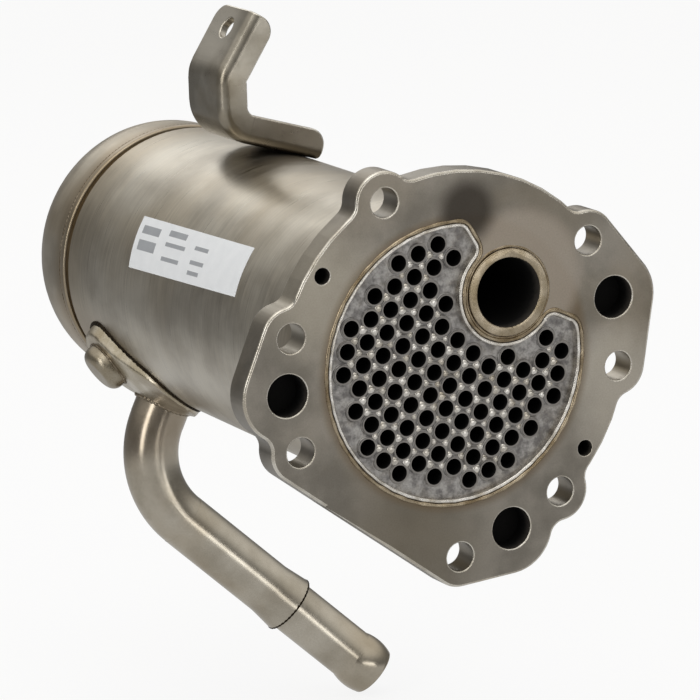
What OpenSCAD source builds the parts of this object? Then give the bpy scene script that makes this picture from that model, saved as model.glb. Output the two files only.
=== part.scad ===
// Exhaust gas recirculation cooler: a shell-and-tube heat exchanger behind one lobed flange.
// Gas goes in through the kidney of small tubes, turns round in the rear cap and comes back
// through the one wide return tube. Coolant fills the shell round the tubes.
// Frame: origin on the shell axis at the flange's front face, +Y to the rear, +Z up.

/* [Flange] */
// Thickness of the mounting flange
flange_t = 9.5; // [9:0.5:14]
// Radius of the flange's round body
flange_r = 59; // [56:0.5:62]
// Radius of the circle that the bolt holes lie on
bolt_circle_r = 56.4; // [54:0.2:60]
// Diameter of the clearance holes for the fixing bolts
bolt_hole_d = 9; // [6:0.5:11]
// Radius of the lug round each bolt hole
bolt_lug_r = 9.5; // [8:0.5:12]
// Distance of the lowest bolt hole from the shell axis
low_bolt_r = 60; // [58:0.5:63]
// Diameter of the three blind holes
blind_hole_d = 13; // [8:0.5:15]
// Floor of the flange left under the blind holes
blind_floor = 1.5; // [1:0.25:4]
// Radius of the lug round each blind hole
blind_lug_r = 14.5; // [12:0.5:16]
// Radius of the circle that the dowel holes lie on
dowel_circle_r = 54.2; // [51:0.2:56]
// Diameter of the dowel holes
dowel_hole_d = 5; // [3:0.5:6]
// Floor of the flange left under the dowel holes
dowel_floor = 2.5; // [1:0.25:4]
// Radius of the concave blends between the lugs
lug_blend_r = 5; // [2:0.5:8]

/* [Tube bundle] */
// Distance between the centres of neighbouring tubes
tube_pitch = 7; // [6.8:0.1:7.4]
// Outer diameter of a gas tube
tube_d = 6; // [5:0.1:6.3]
// Wall of a gas tube
tube_wall = 0.45; // [0.3:0.05:0.8]
// Largest distance of a tube's centre from the shell axis
bundle_r = 37.2; // [36:0.2:37.4]
// Least space for coolant between the outer tubes and the shell
bundle_gap = 1; // [0.5:0.25:2]
// Direction of the return tube seen from the front, from +X towards +Z
bundle_turn = 49.5; // [30:0.5:60]
// How far the gas tubes stand out of the tube plates
tube_proud = 0.4; // [0:0.1:1]

/* [Tube plates] */
// Depth of the front tube plate's face behind the flange face
plate_recess = 2; // [1:0.25:3]
// Thickness of both tube plates
plate_t = 3; // [2:0.25:4]
// Radius of the kidney pocket in the flange
kidney_r = 43; // [42.2:0.1:43.4]
// Width of the front tube plate's rim
rim_w = 1.2; // [0.8:0.1:1.4]
// How far the rim stands out of the flange face
rim_proud = 0.3; // [0:0.1:1]
// Width of the ledge that the front tube plate seats on
ledge_w = 1.7; // [1:0.1:1.9]
// Half angle of the gap between the kidney's horns, seen from the shell axis
horn_half_angle = 36.5; // [34:0.5:38]
// Radius of the kidney's horn ends
horn_r = 4.2; // [2:0.2:5]

/* [Return tube] */
// Distance of the return tube's axis from the shell axis
return_offset = 26.9; // [26:0.1:28]
// Bore of the return tube
return_bore_d = 21.4; // [18:0.2:22]
// Wall of the return tube
return_wall = 1; // [0.6:0.1:1.5]
// Diameter of the collar at the return tube's mouth
collar_d = 27; // [25.5:0.5:28]
// Length of the collar inside the flange
collar_depth = 5; // [3:0.5:6]
// How far the collar stands out of the flange face
collar_proud = 0.8; // [0.4:0.1:2]
// Wall of flange left between the collar and the kidney
collar_web = 1.8; // [1.4:0.1:2]
// Clear space from the return tube's axis to the nearest gas tube centres
return_clear = 20; // [19.6:0.1:20.2]

/* [Shell] */
// Outer diameter of the coolant shell
shell_d = 90; // [88:0.5:92]
// Wall of the shell
shell_wall = 1.5; // [1:0.1:2]
// Web of the flange left between the front tube plate and the shell's seat
seat_web = 1.5; // [1:0.25:2.5]
// Distance from the flange face to the shell's rear end
shell_end = 190.5; // [150:0.5:220]
// Thickness of a baffle
baffle_t = 1.2; // [0.8:0.1:2]
// Height of the window that is cut off each baffle
baffle_window = 22; // [15:1:30]

/* [Rear end] */
// How far the rear tube plate's front face lies inside the shell's end
rear_plate_inset = 2; // [1:0.25:4]
// Width of the groove between the shell and the rear tube plate's rim
groove_w = 3.5; // [2:0.25:6]
// Thickness of the rear tube plate's turned-out rim
rear_rim_t = 3.5; // [1.5:0.25:5]
// Outer diameter of the rear tube plate's rim
rear_rim_d = 90.8; // [89:0.2:92]
// Wall of the rear tube plate's skirt
rear_skirt_wall = 1.4; // [1:0.1:1.8]
// Outer diameter of the rear cap
cap_d = 89.6; // [88:0.2:93]
// Wall of the rear cap
cap_wall = 2; // [1.5:0.25:3]
// Length of the rear cap
cap_len = 35.5; // [28:0.5:45]
// Radius of the rear cap's shoulder
cap_shoulder_r = 24; // [8:0.5:26]

/* [Coolant pipe] */
// Outer diameter of the coolant pipe
pipe_d = 18.5; // [16:0.5:19]
// Wall of the coolant pipe
pipe_wall = 1.2; // [0.8:0.1:2]
// Distance of the pipe's root from the shell's rear end
pipe_inset = 18.5; // [12:0.5:30]
// Direction in which the pipe leaves the shell, from +X towards +Z
pipe_angle = 246.5; // [244:0.5:250]
// Distance from the shell axis to the corner of the pipe's bend
pipe_corner_r = 75.6; // [74:0.2:90]
// Bend radius of the pipe's centre line
pipe_bend_r = 30; // [24:1:32]
// How far bending draws in the pipe's outside and bore, on the radius
bend_draw = 0.05; // [0.02:0.01:0.1]
// Turn of the pipe's long run from +X towards the front
pipe_run_turn = 13; // [5:1:30]
// Fall of the pipe's long run below the horizontal
pipe_run_drop = 41; // [30:1:50]
// Distance from the corner of the bend to the end of the pipe's socket
pipe_run = 70; // [55:1:90]
// Outer diameter of the socket at the pipe's end
socket_d = 20.4; // [20:0.2:23]
// Length of the socket
socket_len = 9; // [6:0.5:14]

/* [Hose end] */
// Outer diameter of the hose end
hose_end_d = 17.8; // [17:0.1:18]
// Wall of the hose end
hose_end_wall = 1.2; // [0.8:0.1:2]
// Length of the hose end outside the socket
hose_end_len = 39; // [24:1:50]
// Diameter of the bead at the hose end's tip
bead_d = 19.4; // [18.4:0.2:21]
// Length of the bead
bead_len = 10; // [8:0.5:14]
// Edge radius of the tip
tip_edge_r = 0.5; // [0.3:0.1:0.6]

/* [Pipe saddle] */
// Height of the saddle above the shell round the pipe and the boss
saddle_h = 3.8; // [2:0.2:6]
// Height of the saddle at its front edge
saddle_edge_h = 1.5; // [1:0.1:1.9]
// Width of the saddle left round the pipe
saddle_margin = 2.2; // [1.5:0.1:2.6]
// Distance from the pipe's root to the saddle's front edge
saddle_reach = 32; // [26:0.5:36]
// Corner radius of the saddle's front edge
saddle_front_r = 14; // [10:0.5:17]
// Direction of the blind boss, from +X towards +Z
boss_angle = 216.5; // [214:0.5:221]
// Diameter of the blind boss
boss_d = 16.5; // [10:0.5:20]
// Height of the blind boss above the saddle
boss_h = 4.6; // [4:0.2:9]
// Edge radius of the blind boss
boss_edge_r = 3.5; // [1:0.5:5]

/* [Bracket] */
// Distance of the bracket's front face from the flange face
bracket_y = 125; // [60:1:140]
// Width of the bracket strip along the shell
bracket_w = 25; // [16:0.5:30]
// Thickness of the bracket's sheet
bracket_t = 2.8; // [1.5:0.1:4]
// Height of the stiffening flange, measured over the sheet
bracket_flange_h = 9.6; // [7:0.2:9.8]
// Tilt of the foot, falling to the right
foot_tilt = 15; // [5:1:25]
// Distance from the foot's contact line with the shell to its free end
foot_free = 5; // [4:0.5:14]
// Distance from the foot's contact line to the corner of the lower bend
foot_len = 31.5; // [28:0.5:40]
// Lean of the upright to the left
upright_lean = 2; // [-5:1:8]
// Distance between the corners of the lower and upper bends
upright_len = 20.5; // [18:0.5:40]
// Lean of the upper arm to the right
arm_lean = 31; // [15:1:40]
// Distance from the corner of the upper bend to the arm's end
arm_len = 23.5; // [20:0.5:35]
// Outer radius of the lower bend
low_bend_r = 13; // [11:0.5:18]
// Outer radius of the upper bend
high_bend_r = 11; // [10.6:0.2:14]
// How far bending thins the sheet, on each side
bend_thin = 0.05; // [0.02:0.01:0.1]
// Outer radius of the fold between the strip and its flange
fold_r = 3.6; // [3:0.1:5]
// Diameter of the hole in the arm
arm_hole_d = 7; // [5:0.5:9]
// Distance of the hole from the arm's end
arm_hole_inset = 7.5; // [6:0.5:10]
// Corner radius at the strip's two ends
end_corner_r = 5.4; // [3:0.2:5.6]

/* [Fits] */
// Clearance all round in the brazed and pressed seats
seat_gap = 0.1; // [0.05:0.05:0.2]
// Clearance between the tubes and the baffles
baffle_gap = 0.2; // [0.1:0.05:0.3]

/* [Hidden] */
$fn = 96;
// A cut reaches this far past the face that it starts from
past = 1;
steel = [0.62, 0.59, 0.54];
bright_steel = [0.72, 0.70, 0.66];
dark_steel = [0.42, 0.40, 0.36];

// Polar hole pattern of the flange: directions from +X towards +Z, seen from the front
bolt_angles = [37, 115.5, 167, 203, 310, 354];
low_bolt_angle = 271.7;
blind_angles = [16.2, 184.5, 290.1];
dowel_angles = [145.7, 325.7];

bolt_places = concat([for (a = bolt_angles) polar(bolt_circle_r, a)], [polar(low_bolt_r, low_bolt_angle)]);
blind_places = [for (a = blind_angles) polar(bolt_circle_r, a)];
dowel_places = [for (a = dowel_angles) polar(dowel_circle_r, a)];
return_place = polar(return_offset, bundle_turn);

shell_r = shell_d / 2;
shell_in_r = shell_r - shell_wall;
bundle_limit = min(bundle_r, shell_in_r - bundle_gap - tube_d / 2);
plate_back = plate_recess + plate_t;
seat_floor = plate_back + seat_web;
return_r = return_bore_d / 2 + return_wall;
horn_inner_r = collar_d / 2 + seat_gap + collar_web;
skirt_r = shell_in_r - seat_gap;
rear_plate_y = shell_end - rear_plate_inset;
rear_rim_y = shell_end + groove_w;
cap_y = rear_rim_y + rear_rim_t;
baffle_ys = [for (k = [1, 2]) flange_t + (rear_plate_y - flange_t) * k / 3];

// The pipe's two directions, the corner between them and its bend
pipe_y = shell_end - pipe_inset;
pipe_d1 = polar3(pipe_angle);
run_reach = cos(pipe_run_drop);
pipe_d2 = [run_reach * cos(pipe_run_turn), -run_reach * sin(pipe_run_turn), -sin(pipe_run_drop)];
pipe_corner = [0, pipe_y, 0] + pipe_corner_r * pipe_d1;
pipe_bend = acos(pipe_d1 * pipe_d2);
pipe_tangent = pipe_bend_r * tan(pipe_bend / 2);
pipe_toward = (pipe_d2 - pipe_d1 * cos(pipe_bend)) / sin(pipe_bend);
pipe_hinge = cross(-pipe_toward, pipe_d1);
// A bend's ends reach this far into the straight lengths beside it
bend_reach = 0.3;

row_pitch = tube_pitch * sqrt(3) / 2;
row_count = 11;
first_row = -6;
tube_names = [for (k = [1:row_count]) str("tube_row_", k < 10 ? "0" : "", k)];

// A point of the X-Z plane at a distance and direction from the shell axis
function polar(r, a) = [r * cos(a), r * sin(a)];
// A direction of the X-Z plane as a vector in space
function polar3(a) = [cos(a), 0, sin(a)];
// A row's tube centres along the row, then turned into the X-Z plane
function lattice(row, i) =
    let (u = tube_pitch * (i + (row % 2 == 0 ? 0 : 0.5)), v = row_pitch * row)
    [u * sin(bundle_turn) + v * cos(bundle_turn), v * sin(bundle_turn) - u * cos(bundle_turn)];
function keeps(p) = norm(p) <= bundle_limit && norm(p - return_place) > return_clear;
function row_tubes(row) = [for (i = [-6:6]) let (p = lattice(row, i)) if (keeps(p)) p];
all_tubes = [for (row = [first_row:first_row + row_count - 1]) each row_tubes(row)];

// A flat shape in the X-Z plane, pushed from y0 towards the rear
module along_y(y0, len) {
    translate([0, y0 + len, 0]) rotate([90, 0, 0]) linear_extrude(len) children();
}

// A profile of radius and distance, turned about the shell axis
module turned() {
    rotate([-90, 0, 0]) rotate_extrude() children();
}

// Round holes at places in the X-Z plane
module holes(places, d, y0, len) {
    for (p = places) translate([p.x, y0, p.y]) rotate([-90, 0, 0]) cylinder(d = d, h = len);
}

// Two lugs of the flange with the straight edges between them
module lug_pair(a, ra, b, rb) {
    hull() {
        translate(a) circle(ra, $fn = 48);
        translate(b) circle(rb, $fn = 48);
    }
}

// The flange's outline: a round body, lugs round the holes, and one straight edge low on the left
module flange_outline() {
    low_left = bolt_places[3];
    low = bolt_places[6];
    edge_turn = atan2(low.y - low_left.y, low.x - low_left.x);
    offset(r = -lug_blend_r, $fn = 48) offset(r = lug_blend_r, $fn = 48) {
        difference() {
            circle(flange_r);
            translate(low_left) rotate(edge_turn) translate([-flange_r, -2 * flange_r - bolt_lug_r])
                square(2 * flange_r);
        }
        for (p = bolt_places) translate(p) circle(bolt_lug_r, $fn = 48);
        lug_pair(low_left, bolt_lug_r, low, bolt_lug_r);
        lug_pair(blind_places[0], blind_lug_r, bolt_places[0], bolt_lug_r);
        lug_pair(blind_places[0], blind_lug_r, bolt_places[5], bolt_lug_r);
        lug_pair(blind_places[1], blind_lug_r, bolt_places[2], bolt_lug_r);
        lug_pair(blind_places[2], blind_lug_r, low, bolt_lug_r);
    }
}

// The kidney that the gas tubes fill: a disc with a bite round the return tube
module kidney(inset) {
    offset(delta = -inset) offset(r = horn_r, $fn = 48) offset(r = -horn_r, $fn = 48) difference() {
        circle(kidney_r);
        translate(return_place) circle(horn_inner_r);
        polygon([return_place, for (r = [1, 2]) polar(r * kidney_r, bundle_turn - horn_half_angle),
            for (r = [2, 1]) polar(r * kidney_r, bundle_turn + horn_half_angle)]);
    }
}

module mounting_flange() {
    color(steel) difference() {
        along_y(0, flange_t) flange_outline();
        along_y(-past, plate_back + past) kidney(0);
        along_y(0, flange_t) kidney(ledge_w);
        translate([0, seat_floor, 0]) rotate([-90, 0, 0]) cylinder(r = shell_r + seat_gap, h = flange_t);
        holes([return_place], collar_d + 2 * seat_gap, -past, collar_depth + past);
        holes([return_place], 2 * (return_r + seat_gap), 0, flange_t);
        holes(bolt_places, bolt_hole_d, -past, flange_t + 2 * past);
        holes(blind_places, blind_hole_d, -past, flange_t - blind_floor + past);
        holes(dowel_places, dowel_hole_d, -past, flange_t - dowel_floor + past);
    }
}

module front_tube_plate() {
    color(bright_steel) difference() {
        along_y(-rim_proud, plate_back + rim_proud) kidney(seat_gap);
        along_y(-rim_proud - past, plate_recess + rim_proud + past) kidney(seat_gap + rim_w);
        holes(all_tubes, tube_d + 2 * seat_gap, 0, plate_back + past);
    }
}

// One row of gas tubes, all of one length, from plate to plate
module tube_row(row) {
    y0 = plate_recess - tube_proud;
    len = rear_plate_y + plate_t + tube_proud - y0;
    color(bright_steel) for (p = row_tubes(row)) translate([p.x, y0, p.y]) rotate([-90, 0, 0]) difference() {
        cylinder(d = tube_d, h = len);
        translate([0, 0, -past]) cylinder(d = tube_d - 2 * tube_wall, h = len + 2 * past);
    }
}

module return_tube() {
    bore_r = return_bore_d / 2;
    tail = rear_plate_y + plate_t + tube_proud;
    round_r = collar_proud / 2;
    color(bright_steel) translate([return_place.x, 0, return_place.y]) turned() {
        translate([bore_r, -collar_proud + round_r])
            square([collar_d / 2 - bore_r, collar_depth + collar_proud - round_r]);
        translate([bore_r + round_r, -collar_proud])
            square([collar_d / 2 - bore_r - 2 * round_r, collar_proud]);
        translate([bore_r + round_r, -collar_proud + round_r]) circle(round_r, $fn = 32);
        translate([collar_d / 2 - round_r, -collar_proud + round_r]) circle(round_r, $fn = 32);
        translate([bore_r, 0]) square([return_wall, tail]);
    }
}

// The rear tube plate is a pressed dish: plate, skirt inside the shell and turned-out rim.
// The rim reaches from the skirt to the cap's wall, whichever lies further in or out.
module rear_tube_plate() {
    skirt_in_r = skirt_r - rear_skirt_wall;
    rim_in_r = min(skirt_in_r, cap_d / 2 - cap_wall);
    rim_out_r = max(skirt_r, cap_d / 2, rear_rim_d / 2);
    color(dark_steel) difference() {
        turned() {
            translate([0, rear_plate_y]) square([skirt_r, plate_t]);
            translate([skirt_in_r, rear_plate_y]) square([rear_skirt_wall, cap_y - rear_plate_y]);
            translate([rim_in_r, rear_rim_y]) square([rim_out_r - rim_in_r, rear_rim_t]);
        }
        holes(all_tubes, tube_d + 2 * seat_gap, rear_plate_y - past, plate_t + 2 * past);
        holes([return_place], 2 * (return_r + seat_gap), rear_plate_y - past, plate_t + 2 * past);
    }
}

// A support disc with one edge cut off for the coolant
module baffle(y0, window_turn) {
    disc_r = shell_in_r - baffle_gap;
    color(steel) difference() {
        translate([0, y0, 0]) rotate([-90, 0, 0]) cylinder(r = disc_r, h = baffle_t);
        translate([0, y0 - past, 0]) rotate([0, -window_turn, 0])
            translate([disc_r - baffle_window, 0, -disc_r])
                cube([baffle_window + past, baffle_t + 2 * past, 2 * disc_r]);
        holes(all_tubes, tube_d + 2 * baffle_gap, y0 - past, baffle_t + 2 * past);
        holes([return_place], 2 * (return_r + baffle_gap), y0 - past, baffle_t + 2 * past);
    }
}

module front_baffle() {
    baffle(baffle_ys[0], pipe_angle);
}

module rear_baffle() {
    baffle(baffle_ys[1], pipe_angle - 180);
}

module shell() {
    color(steel) difference() {
        turned() translate([shell_in_r, seat_floor]) square([shell_wall, shell_end - seat_floor]);
        pipe_axis() cylinder(d = pipe_d - 2 * pipe_wall, h = pipe_corner_r);
    }
}

module rear_cap() {
    out_r = cap_d / 2;
    end_y = cap_y + cap_len;
    in_shoulder = cap_shoulder_r - cap_wall;
    color(steel) turned() difference() {
        cap_profile(out_r, cap_y, end_y, cap_shoulder_r);
        cap_profile(out_r - cap_wall, cap_y - past, end_y - cap_wall, in_shoulder);
    }
}

// Half section of a round-shouldered cup
module cap_profile(r, y0, y1, shoulder) {
    translate([0, y0]) square([r, y1 - shoulder - y0]);
    translate([0, y1 - shoulder - past]) square([r - shoulder, shoulder + past]);
    intersection() {
        translate([r - shoulder, y1 - shoulder]) circle(shoulder);
        translate([r - shoulder, y1 - shoulder]) square(shoulder);
    }
}

// The pipe's straight root: local Z runs outwards from the shell axis
module pipe_axis() {
    translate([0, pipe_y, 0]) rotate([0, 90 - pipe_angle, 0]) children();
}

// The saddle's oval: round ends under the pipe and the boss, and a round front
module saddle_outline(half_len, end_r) {
    hull() {
        for (side = [-1, 1]) translate([side * half_len, 0]) circle(end_r, $fn = 48);
        translate([0, saddle_front_r - saddle_reach]) circle(saddle_front_r, $fn = 48);
    }
}

// A pressed saddle that follows the shell under the pipe and the boss, with the pipe's hole in it.
// Seen from outside it is an oval that runs down to a low edge in front.
module pipe_saddle() {
    end_r = pipe_d / 2 + saddle_margin;
    half_turn = (pipe_angle - boss_angle) / 2;
    half_len = (shell_r + saddle_h) * sin(half_turn);
    inner_r = shell_r + seat_gap;
    top_r = shell_r + saddle_h;
    front_y = pipe_y - saddle_reach;
    rear_y = pipe_y + end_r;
    edge_r = shell_r + saddle_edge_h;
    fall = (top_r - edge_r) / (saddle_reach - end_r);
    color(steel) difference() {
        intersection() {
            turned() polygon([[inner_r, front_y - past], [edge_r - past * fall, front_y - past],
                [top_r, pipe_y - end_r], [top_r, rear_y + past], [inner_r, rear_y + past]]);
            translate([0, pipe_y, 0]) rotate([0, 90 - boss_angle - half_turn, 0]) linear_extrude(2 * shell_r)
                saddle_outline(half_len, end_r);
        }
        pipe_axis() cylinder(d = pipe_d + 2 * seat_gap, h = 2 * shell_r);
    }
}

// A closed round boss on the saddle
module blind_boss() {
    base_r = shell_r + saddle_h + seat_gap;
    top_r = base_r + boss_h;
    r = boss_d / 2;
    color(steel) difference() {
        translate([0, pipe_y, 0]) rotate([0, 90 - boss_angle, 0]) rotate_extrude() {
            square([r, top_r - boss_edge_r]);
            square([r - boss_edge_r, top_r]);
            translate([r - boss_edge_r, top_r - boss_edge_r]) circle(boss_edge_r);
        }
        translate([0, pipe_y - boss_d, 0]) rotate([-90, 0, 0]) cylinder(r = base_r, h = 2 * boss_d);
    }
}

// A frame with its origin and its x, y and z directions given
module placed(o, x, y, z) {
    multmatrix([[x.x, y.x, z.x, o.x], [x.y, y.y, z.y, o.y], [x.z, y.z, z.z, o.z], [0, 0, 0, 1]]) children();
}

// The pipe's long run: local Z along it, from the corner of the bend
module pipe_run_axis() {
    placed(pipe_corner, cross(pipe_hinge, pipe_d2), pipe_hinge, pipe_d2) children();
}

// A round bar along the pipe's root, bend and long run
module pipe_bar(r, root) {
    centre = pipe_corner - pipe_tangent * pipe_d1 + pipe_bend_r * pipe_toward;
    reach = bend_reach / pipe_bend_r * 180 / PI;
    pipe_axis() translate([0, 0, root]) cylinder(r = r, h = pipe_corner_r - pipe_tangent - root);
    placed(centre, -pipe_toward, pipe_d1, pipe_hinge) rotate(-reach)
        rotate_extrude(angle = pipe_bend + 2 * reach) translate([pipe_bend_r, 0]) circle(r - bend_draw);
    pipe_run_axis() translate([0, 0, pipe_tangent]) cylinder(r = r, h = pipe_run - pipe_tangent);
}

// One bent tube, seated on the shell and widened at its end to take the hose end
module coolant_pipe() {
    color(steel) difference() {
        union() {
            pipe_bar(pipe_d / 2, shell_in_r);
            pipe_run_axis() translate([0, 0, pipe_run - socket_len])
                cylinder(d1 = pipe_d, d2 = socket_d, h = socket_len);
        }
        pipe_bar(pipe_d / 2 - pipe_wall, shell_in_r - past);
        pipe_run_axis() translate([0, 0, pipe_run - socket_len])
            cylinder(d = hose_end_d + 2 * seat_gap, h = socket_len + past);
        translate([0, pipe_y - pipe_d, 0]) rotate([-90, 0, 0])
            cylinder(r = shell_r + seat_gap, h = 2 * pipe_d);
    }
}

// A short tube brazed into the pipe's socket, with a rounded bead that holds a hose
module hose_end() {
    r = hose_end_d / 2;
    root = pipe_run - socket_len;
    tip = pipe_run + hose_end_len;
    bead_y = tip - tip_edge_r - bead_len;
    rise = (bead_d - hose_end_d) / 2;
    bead_r = (rise * rise + bead_len * bead_len / 4) / (2 * rise);
    color(steel) pipe_run_axis() rotate_extrude() difference() {
        union() {
            translate([0, root]) square([r, tip - root - tip_edge_r]);
            intersection() {
                translate([r + rise - bead_r, bead_y + bead_len / 2]) circle(bead_r);
                translate([0, bead_y]) square([r + rise, bead_len]);
            }
            translate([0, tip - 2 * tip_edge_r]) square([r - tip_edge_r, 2 * tip_edge_r]);
            translate([r - tip_edge_r, tip - tip_edge_r]) circle(tip_edge_r);
        }
        translate([-past, root - past]) square([r - hose_end_wall + past, tip - root + 2 * past]);
    }
}

// The bracket's angle section: strip width along x, flange height along y, thinned all round
module bracket_section(thin) {
    t = bracket_t - thin;
    outer_r = fold_r - thin;
    inner_r = fold_r - bracket_t + thin;
    difference() {
        union() {
            translate([thin, thin]) square([bracket_w - 2 * thin, t - thin]);
            translate([thin, thin]) square([t - thin, bracket_flange_h - 2 * thin]);
        }
        difference() {
            square(fold_r);
            translate([fold_r, fold_r]) circle(outer_r);
        }
    }
    translate([t - thin, t - thin]) difference() {
        square(inner_r + thin);
        translate([inner_r + thin, inner_r + thin]) circle(inner_r);
    }
}

// A straight length of the section from a point of the X-Z plane, in a direction of that plane
module bracket_run(start, direction, len) {
    placed([start.x, bracket_y, start.y], [0, 1, 0], polar3(direction - 90),
        polar3(direction)) linear_extrude(len) bracket_section(0);
}

// A bend of the section to the right, from a direction of the X-Z plane
module bracket_bend(start, direction, r, turn) {
    centre = start + polar(r, direction - 90);
    reach = bend_reach / r * 180 / PI;
    placed([centre.x, bracket_y, centre.y], polar3(direction + 90), polar3(direction), [0, 1, 0])
        rotate(-reach) rotate_extrude(angle = turn + 2 * reach)
            translate([r, 0]) rotate(90) bracket_section(bend_thin);
}

// A bent strip with a stiffening flange: foot on the shell, upright and leaning arm
module support_bracket() {
    foot_dir = 180 - foot_tilt;
    upright_dir = 90 + upright_lean;
    arm_dir = 90 - arm_lean;
    low_turn = foot_dir - upright_dir;
    high_turn = upright_dir - arm_dir;
    low_t = low_bend_r * tan(low_turn / 2);
    high_t = high_bend_r * tan(high_turn / 2);
    contact = polar(shell_r + seat_gap, 90 - foot_tilt);
    free_end = contact - polar(foot_free, foot_dir);
    low_corner = contact + polar(foot_len, foot_dir);
    high_corner = low_corner + polar(upright_len, upright_dir);
    arm_end = high_corner + polar(arm_len, arm_dir);
    hole_at = arm_end - polar(arm_hole_inset, arm_dir);
    color(dark_steel) difference() {
        union() {
            bracket_run(free_end, foot_dir, foot_free + foot_len - low_t);
            bracket_bend(low_corner - polar(low_t, foot_dir), foot_dir, low_bend_r, low_turn);
            bracket_run(low_corner + polar(low_t, upright_dir), upright_dir, upright_len - low_t - high_t);
            bracket_bend(high_corner - polar(high_t, upright_dir), upright_dir, high_bend_r, high_turn);
            bracket_run(high_corner + polar(high_t, arm_dir), arm_dir, arm_len - high_t);
        }
        placed([hole_at.x, bracket_y + bracket_w / 2, hole_at.y], [0, 1, 0], polar3(arm_dir),
            polar3(arm_dir - 90)) translate([0, 0, -past]) cylinder(d = arm_hole_d, h = bracket_t + 2 * past);
        end_corners(arm_end, arm_dir, 1);
        end_corners(free_end, foot_dir + 180, -1);
    }
}

// Rounds off both corners of a strip end that points in a direction of the X-Z plane:
// the strip's rear corner and the flange's upper corner, with the flange on the given side
module end_corners(tip, direction, side) {
    up = direction - 90 * side;
    upper = tip + polar(bracket_flange_h, up);
    placed([tip.x, bracket_y + bracket_w, tip.y], [0, 1, 0], polar3(direction), polar3(direction - 90))
        corner_cut();
    placed([upper.x, bracket_y, upper.y], polar3(up), polar3(direction), [0, -side, 0]) corner_cut();
}

// The waste outside a round corner at the local origin, cut through a sheet
module corner_cut() {
    depth = bracket_t + past;
    translate([-end_corner_r, -end_corner_r, -depth]) linear_extrude(2 * depth) difference() {
        square(end_corner_r + past);
        circle(end_corner_r);
    }
}

mounting_flange();
front_tube_plate();
return_tube();
rear_tube_plate();
front_baffle();
rear_baffle();
shell();
rear_cap();
pipe_saddle();
coolant_pipe();
hose_end();
blind_boss();
support_bracket();
for (k = [1:row_count]) tube_row(first_row + k - 1);
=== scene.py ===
"""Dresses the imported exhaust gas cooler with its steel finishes, braze, welds, sticker and studio."""

import logging
import math
from dataclasses import dataclass
from enum import Enum
from typing import Callable, Sequence

import bmesh
import bpy
from mathutils import Matrix, Vector


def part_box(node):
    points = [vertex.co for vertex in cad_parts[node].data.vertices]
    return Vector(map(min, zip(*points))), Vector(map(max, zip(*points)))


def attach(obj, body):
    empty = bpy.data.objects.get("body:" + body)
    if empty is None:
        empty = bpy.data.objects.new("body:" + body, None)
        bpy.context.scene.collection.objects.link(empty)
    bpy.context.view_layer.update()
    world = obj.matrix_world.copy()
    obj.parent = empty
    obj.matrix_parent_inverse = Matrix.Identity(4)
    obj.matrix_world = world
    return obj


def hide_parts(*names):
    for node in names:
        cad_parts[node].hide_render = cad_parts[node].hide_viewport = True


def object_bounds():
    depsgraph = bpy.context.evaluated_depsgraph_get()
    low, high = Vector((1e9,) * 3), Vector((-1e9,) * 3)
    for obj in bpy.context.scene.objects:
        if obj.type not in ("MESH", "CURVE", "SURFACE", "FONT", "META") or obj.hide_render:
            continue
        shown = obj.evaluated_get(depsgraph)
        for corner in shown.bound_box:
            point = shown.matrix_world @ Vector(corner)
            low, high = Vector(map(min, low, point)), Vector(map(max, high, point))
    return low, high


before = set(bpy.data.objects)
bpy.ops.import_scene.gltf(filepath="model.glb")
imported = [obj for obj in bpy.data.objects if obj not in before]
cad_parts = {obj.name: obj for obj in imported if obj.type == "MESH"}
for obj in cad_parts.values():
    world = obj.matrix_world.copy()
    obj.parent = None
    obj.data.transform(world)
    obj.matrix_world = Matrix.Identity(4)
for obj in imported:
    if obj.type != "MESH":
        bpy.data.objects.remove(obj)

CAD_BOX = [list(corner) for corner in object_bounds()]
LOG = logging.getLogger("cooler")
MM = 0.001
BODY = "root"
# Colour sockets of a Mix node, which share their names with its number sockets
MIX_A, MIX_B, MIX_OUT = 6, 7, 2
# Parts of a noise's range that are stretched to the full one: for clouds, tints and grain
CLOUD_SPAN, TINT_SPAN, GRAIN_SPAN = (0.36, 0.66), (0.45, 0.75), (0.3, 0.7)
# The tints' clouds are larger than the others by one over this
TINT_SCALE = 0.6
# Depth of a grain's bump as a share of its width
GRAIN_DEPTH = 0.3
# Share of a stain's soft edge that noise moves
FRAY = 0.6
# Distance in metres within which packed points are one, and angle in degrees within which faces are one
JOIN_DISTANCE, FLAT_ANGLE = 2e-6, 0.4
# Angles in degrees from which an edge is shaded crisp: most pieces, and pieces with coarser facets
CRISP, CRISP_COARSE = 32.0, 40.0
# Angles in degrees from which an edge is broken: most pieces, and the folded strip
BREAK, BREAK_FOLD = 40.0, 50.0
# Mean width in millimetres under which a face is too thin to carry a broken edge
SLIVER = 0.03
# Room in millimetres for rounding where a face or an edge is picked by its place
SLACK = 0.1
# Largest turn of a ring of braze, in radians
RING_TURN = 6.28
# Spacing of a bead's cross sections as a share of its ripples' pitch
BEAD_STEP = 0.2
# Number of points of the lines round the roots of pipe and boss, and round the socket
RING_POINTS, JOINT_POINTS = 72, 60

Socket = bpy.types.NodeSocket
Tree = bpy.types.NodeTree
Material = bpy.types.Material
Colour = tuple[float, float, float, float]
Span = tuple[float, float]
Place = tuple[float, float, float]


class Slot(Enum):
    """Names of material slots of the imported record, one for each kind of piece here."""

    FLANGE = "flange_steel"
    PLATE = "brazed_steel"
    TUBE = "tube_steel"
    END = "end_steel"
    SHELL = "shell_steel"
    PIPE = "pipe_steel"
    BRACKET = "bracket_steel"


class Reach(Enum):
    """How a stain measures its distance: from a point, from a line along Y, or from a plane across Y."""

    BALL = (1.0, 1.0, 1.0)
    COLUMN = (1.0, 0.0, 1.0)
    SLICE = (0.0, 1.0, 0.0)


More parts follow.
